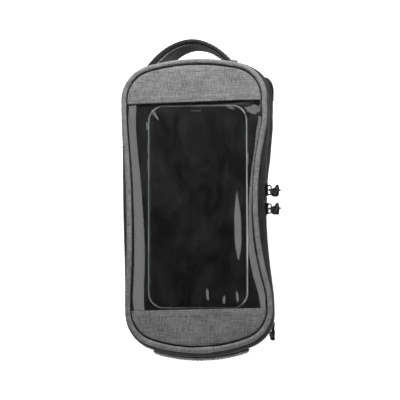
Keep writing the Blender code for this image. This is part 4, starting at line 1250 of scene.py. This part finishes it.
def make_panels():
    """The two heather panels and the stitches along their hems."""
    for name, sign, plan in (
        ("front", 1, plan_of(LID_Z, 5.1 * MM, low=WINDOW_FRONT)),
        ("rear", -1, plan_of(LID_Z, 5.1 * MM, high=WINDOW_REAR)),
    ):
        height = panel_height(sign)
        flat_cloth(f"{name}_panel", plan, height, 1.9 * MM, "heather", "lid", [f"lid_panel_{name}"],
                   "heather_fabric", columns=130, step=0.42 * MM, edge=0.5)
        window = WINDOW_FRONT if sign > 0 else WINDOW_REAR
        y = window + sign * HEM_STITCH
        left, right = plan.sides(y)
        x = np.linspace(left + 1.2 * MM, right - 1.2 * MM, 160)
        rim = rim_distance(np.stack([x, np.full(160, y)], 1), plan.rim)
        path = np.array([(a, y, height(a, y, d, HEM_STITCH) + 0.92 * MM) for a, d in zip(x, rim)])
        sewn(f"{name}_panel_stitches", path, np.tile((0, 0, 1.0), (160, 1)), "pale_thread", "lid",
             "heather_fabric", lift=-0.02 * MM)


def film_height(x, y, left, right):
    """Height of the film: flat over the phone, rolling down to the piping, with a pressed facet and creases."""
    at, width = RIGHT_ROLL if x > 0 else LEFT_ROLL
    shoulder = float(np.interp(y, np.array(at) * MM, np.array(width) * MM))
    edge = min(x - left, right - x)
    drop = ROLL_SLOPE * FILM_SOFTNESS * float(np.logaddexp(0, (shoulder - edge) / FILM_SOFTNESS))
    line = min(y - WINDOW_REAR, WINDOW_FRONT - y)
    tuck = 1.05 * MM * (1 - smooth(line, -1 * MM, 9 * MM))
    ripple = 0.05 * MM * wrinkle((x, y, 0), (13 * MM, 60 * MM, 1), 5.0) * min(1, edge / (6 * MM))
    spread = 3.0 * MM * smooth(y, 21 * MM, -14 * MM) * smooth(y, -52 * MM, -28 * MM)
    facet = 0.0
    if spread > 0:
        off, reach = (x - FACET_X) / FILM_SOFTNESS, spread / FILM_SOFTNESS
        facet = FILM_SOFTNESS * float(np.logaddexp(0, off + reach) - np.logaddexp(0, off - reach))
        facet = FACET_SLOPE * (facet - spread * smooth(x, -8 * MM, 28 * MM))
    height = FILM_Z - drop - tuck + ripple - facet
    for at_x, at_y, turn, half_width, half_length, slope in CREASES:
        c, s = math.cos(math.radians(turn)), math.sin(math.radians(turn))
        across, along = (x - at_x) * c + (y - at_y) * s, (y - at_y) * c - (x - at_x) * s
        t, u = across / half_width, along / half_length
        if abs(t) < 4 and abs(u) < 3:
            height -= slope * half_width * t * math.exp(-(t * t + u * u) / 2)
    return height


def make_film():
    """The clear window, tucked under the panels and the piping."""
    plan = plan_of(LID_Z, 4.6 * MM, WINDOW_REAR - 6.5 * MM, WINDOW_FRONT + 6.5 * MM)
    thickness = 0.3 * MM
    across = eased(190, 0.5)
    rows = []
    for y in np.linspace(plan.low, plan.high, 190):
        left, right = plan.sides(y)
        top = [(x, y, film_height(x, y, left, right)) for x in left + (right - left) * across]
        rows.append(top + [(x, y, z - thickness) for x, y, z in reversed(top)])
    window = shaped("window", rows, "film", "lid", ["window_film"], "clear_film", section=False, caps=True,
                    plan_uv=True, sharp=60)
    for y in np.linspace(plan.low, plan.high, 200):
        left, right = plan.sides(y)


def make_lid_inside():
    """Cloth behind the phone, the lid's lining, the mouth strip, its flap and fastener tapes."""
    back = plan_of(59.7 * MM, 3.1 * MM, low=-85.5 * MM)

    def back_height(x, y, d, line):
        return 58.65 * MM + 0.10 * MM * wrinkle((x, y, 0), (12 * MM, 20 * MM, 1), 1.4)

    def lining_height(x, y, d, line):
        return 56.85 * MM + 0.08 * MM * wrinkle((x, y, 0), (16 * MM, 16 * MM, 1), 6.1)

    flat_cloth("pocket_back", back, back_height, 1.8 * MM, "back", "lid", ["phone_pocket_back"], "black_fabric",
               columns=50, step=3 * MM)
    flat_cloth("lid_under_cloth", plan_of(58.7 * MM, 2.6 * MM, low=-85.5 * MM), lining_height, 0.75 * MM,
               "lining", "lid", ["lid_lining"], "lining_fabric", columns=50, step=3 * MM)
    flat_cloth("mouth_strip", plan_of(59.7 * MM, 3.3 * MM, high=-97 * MM), lambda x, y, d, line: 58.05 * MM,
               3.2 * MM, "black", "lid", ["pocket_mouth_strip"], "black_fabric", columns=50, step=1.5 * MM)
    flat_cloth("mouth_flap", rectangle(38 * MM, -105 * MM, -83 * MM), lambda x, y, d, line: 53.9 * MM,
               0.95 * MM, "lining", "flap", ["pocket_flap"], "lining_fabric", columns=40, step=1 * MM)
    tape = rectangle(35 * MM, -104.2 * MM, -97.8 * MM)
    for name, middle, thickness, body in (("hook_tape", 54.95, 0.48, "flap"), ("loop_tape", 55.8, 0.58, "lid")):
        flat_cloth(f"{name}_strip", tape, lambda x, y, d, line, z=middle * MM: z, thickness * MM,
                   "hook", body, [name], "fastener_tape", columns=40, step=0.6 * MM)


# ---------------------------------------------------------------- phone
PHONE_WIDTH, PHONE_LENGTH, PHONE_CORNER = 77.4 * MM, 157.5 * MM, 12.5 * MM
PHONE_CENTRE_X, PHONE_CENTRE_Y, PHONE_SKEW = 1.0 * MM, -1.2 * MM, math.radians(-1.2)


def phone_loop(inset, z):
    """The phone's rounded outline at height z."""
    half_x, half_y, radius = PHONE_WIDTH / 2 - inset, PHONE_LENGTH / 2 - inset, PHONE_CORNER - inset
    points = []
    for x, y, start in ((1, 1, 0), (-1, 1, 90), (-1, -1, 180), (1, -1, 270)):
        for angle in np.radians(np.linspace(start, start + 90, 16)):
            points.append((x * (half_x - radius) + radius * math.cos(angle),
                           y * (half_y - radius) + radius * math.sin(angle)))
    x, y = np.array(points).T
    c, s = math.cos(PHONE_SKEW), math.sin(PHONE_SKEW)
    return np.stack([x * c - y * s + PHONE_CENTRE_X, x * s + y * c + PHONE_CENTRE_Y, np.full(len(x), z)], 1)


def phone_bar(name, centre, size, rounding):
    """A small rounded bar on the phone, given in the phone's own axes."""
    shape = bmesh.new()
    bmesh.ops.create_cube(shape, size=1)
    bmesh.ops.scale(shape, vec=size, verts=shape.verts)
    bmesh.ops.bevel(shape, geom=shape.edges[:], offset=rounding, segments=4, affect="EDGES", profile=0.5)
    bmesh.ops.translate(shape, vec=centre, verts=shape.verts)
    bmesh.ops.rotate(shape, cent=(0, 0, 0), matrix=Matrix.Rotation(PHONE_SKEW, 3, "Z"), verts=shape.verts)
    bmesh.ops.translate(shape, vec=(PHONE_CENTRE_X, PHONE_CENTRE_Y, 0), verts=shape.verts)
    mesh = mesh_of(shape, name)
    mesh.uv_layers.new(name="cloth")
    mesh.shade_smooth()
    return mesh


PHONE_RIM = (  # inset and height in mm, from the back's edge over the chamfered front edge
    (3.2, 60.0), (1.6, 60.15), (0.6, 60.7), (0.1, 61.7), (0, 62.6), (0, 66.7), (0.03, 67.1), (0.12, 67.34),
    (0.27, 67.47), (0.5, 67.55), (0.85, 67.67), (0.96, 67.70), (1.05, 67.67), (1.1, 67.5), (1.1, 66.9),
)
PHONE_FACE = (1.22, 67.15), (1.19, 67.38), (1.26, 67.55), (1.45, 67.68), (1.85, 67.75)


def make_phone():
    """A plain black phone: bright rounded rim, side buttons, glass and an earpiece slit."""
    for name, look, node, profile in (
        ("phone_body", "rim", "phone_frame", PHONE_RIM),
        ("phone_face", "glass", "phone_glass", PHONE_FACE),
    ):
        rows = [phone_loop(inset * MM, z * MM) for inset, z in profile]
        shaped(name, rows, look, "phone", [node], node, section=False, caps=True, sharp=40)
    half = PHONE_WIDTH / 2
    power = (1.1 * MM, 9 * MM, 2.2 * MM)
    volume = (1.0 * MM, 8 * MM, 2.0 * MM)
    buttons = [phone_bar("phone_buttons", (half + 0.05 * MM, 37.5 * MM, 64.6 * MM), power, 0.5 * MM)]
    for y in (46 * MM, 33 * MM):
        buttons.append(phone_bar("phone_button", (-half - 0.05 * MM, y, 64.6 * MM), volume, 0.45 * MM))
    piece_from("phone_buttons", joined(buttons), "rim", "phone", ())
    slit = phone_bar("phone_earpiece", (-1.2 * MM, PHONE_LENGTH / 2 - 4.6 * MM, 67.74 * MM),
                     (7.5 * MM, 0.9 * MM, 0.2 * MM), 0.09 * MM)
    piece_from("phone_earpiece", slit, "slit", "phone", ())


# ---------------------------------------------------------------- light and floor
def area_light(name, place, target, size, power, diffuse=True, glossy=True):
    """A soft rectangular light."""
    data = bpy.data.lights.new(name, "AREA")
    data.shape, data.size, data.size_y, data.energy = "RECTANGLE", size[0], size[1], power
    lamp = bpy.data.objects.new(name, data)
    lamp.location = place
    lamp.rotation_euler = (Vector(target) - Vector(place)).to_track_quat("-Z", "Y").to_euler()
    lamp.visible_diffuse, lamp.visible_glossy, lamp.visible_transmission = diffuse, glossy, glossy
    lamp.visible_camera = False
    bpy.context.scene.collection.objects.link(lamp)


def make_studio():
    """Pale floor, soft key light towards the front, fills, and tall soft boxes that gleam on the film."""
    world = bpy.data.worlds.new("studio")
    bpy.context.scene.world = world
    world.use_nodes = True
    world.node_tree.nodes["Background"].inputs["Color"].default_value = (0.02, 0.02, 0.0205, 1)
    bpy.context.scene.view_settings.view_transform = "Standard"

    shape = bmesh.new()
    bmesh.ops.create_grid(shape, x_segments=1, y_segments=1, size=2.5)
    mesh = mesh_of(shape, "floor")
    floor = bpy.data.objects.new("floor", mesh)
    floor.location.z = -0.2 * MM
    bpy.context.scene.collection.objects.link(floor)
    look = Look("pale_floor", (0.8, 0.8, 0.8), 0.9, Emission_Color=(1, 1, 1, 1), Emission_Strength=1.0)
    fine = look.noise(look.coordinates(), (2.5 * MM,) * 3)
    mesh.materials.append(look.surface(Normal=look.bump(fine, 0.05 * MM, 0.3)))
    floor.visible_diffuse = False

    area_light("key", (0.02, 0.42, 0.36), (0, 0.05, 0.06), (0.5, 0.35), 5.7, glossy=False)
    area_light("right_fill", (0.85, 0.05, 0.35), (0, 0, 0.05), (0.5, 0.6), 0.12, glossy=False)
    area_light("left_fill", (-0.85, 0.0, 0.45), (0, 0, 0.05), (0.5, 0.6), 0.25, glossy=False)
    area_light("rear_fill", (0.05, -0.8, 0.12), (0, -0.05, 0.04), (0.6, 0.4), 5.5, glossy=False)
    for side in (-1, 1):
        tilt = math.radians(35) * side
        place = (math.sin(tilt), 0.0, 0.069 + math.cos(tilt))
        area_light(f"softbox_{'left' if side < 0 else 'right'}", place, (0, 0, 0.069), (1.2, 0.54),
                   1.5 * 0.54 * 1.2 * math.pi, diffuse=False)


make_walls()
make_base()
make_rear_patch()
make_handle()
make_anchors()
make_pocket()
make_zip()
make_sliders()
make_lid_frame()
make_panels()
make_film()
make_lid_inside()
make_phone()
make_studio()
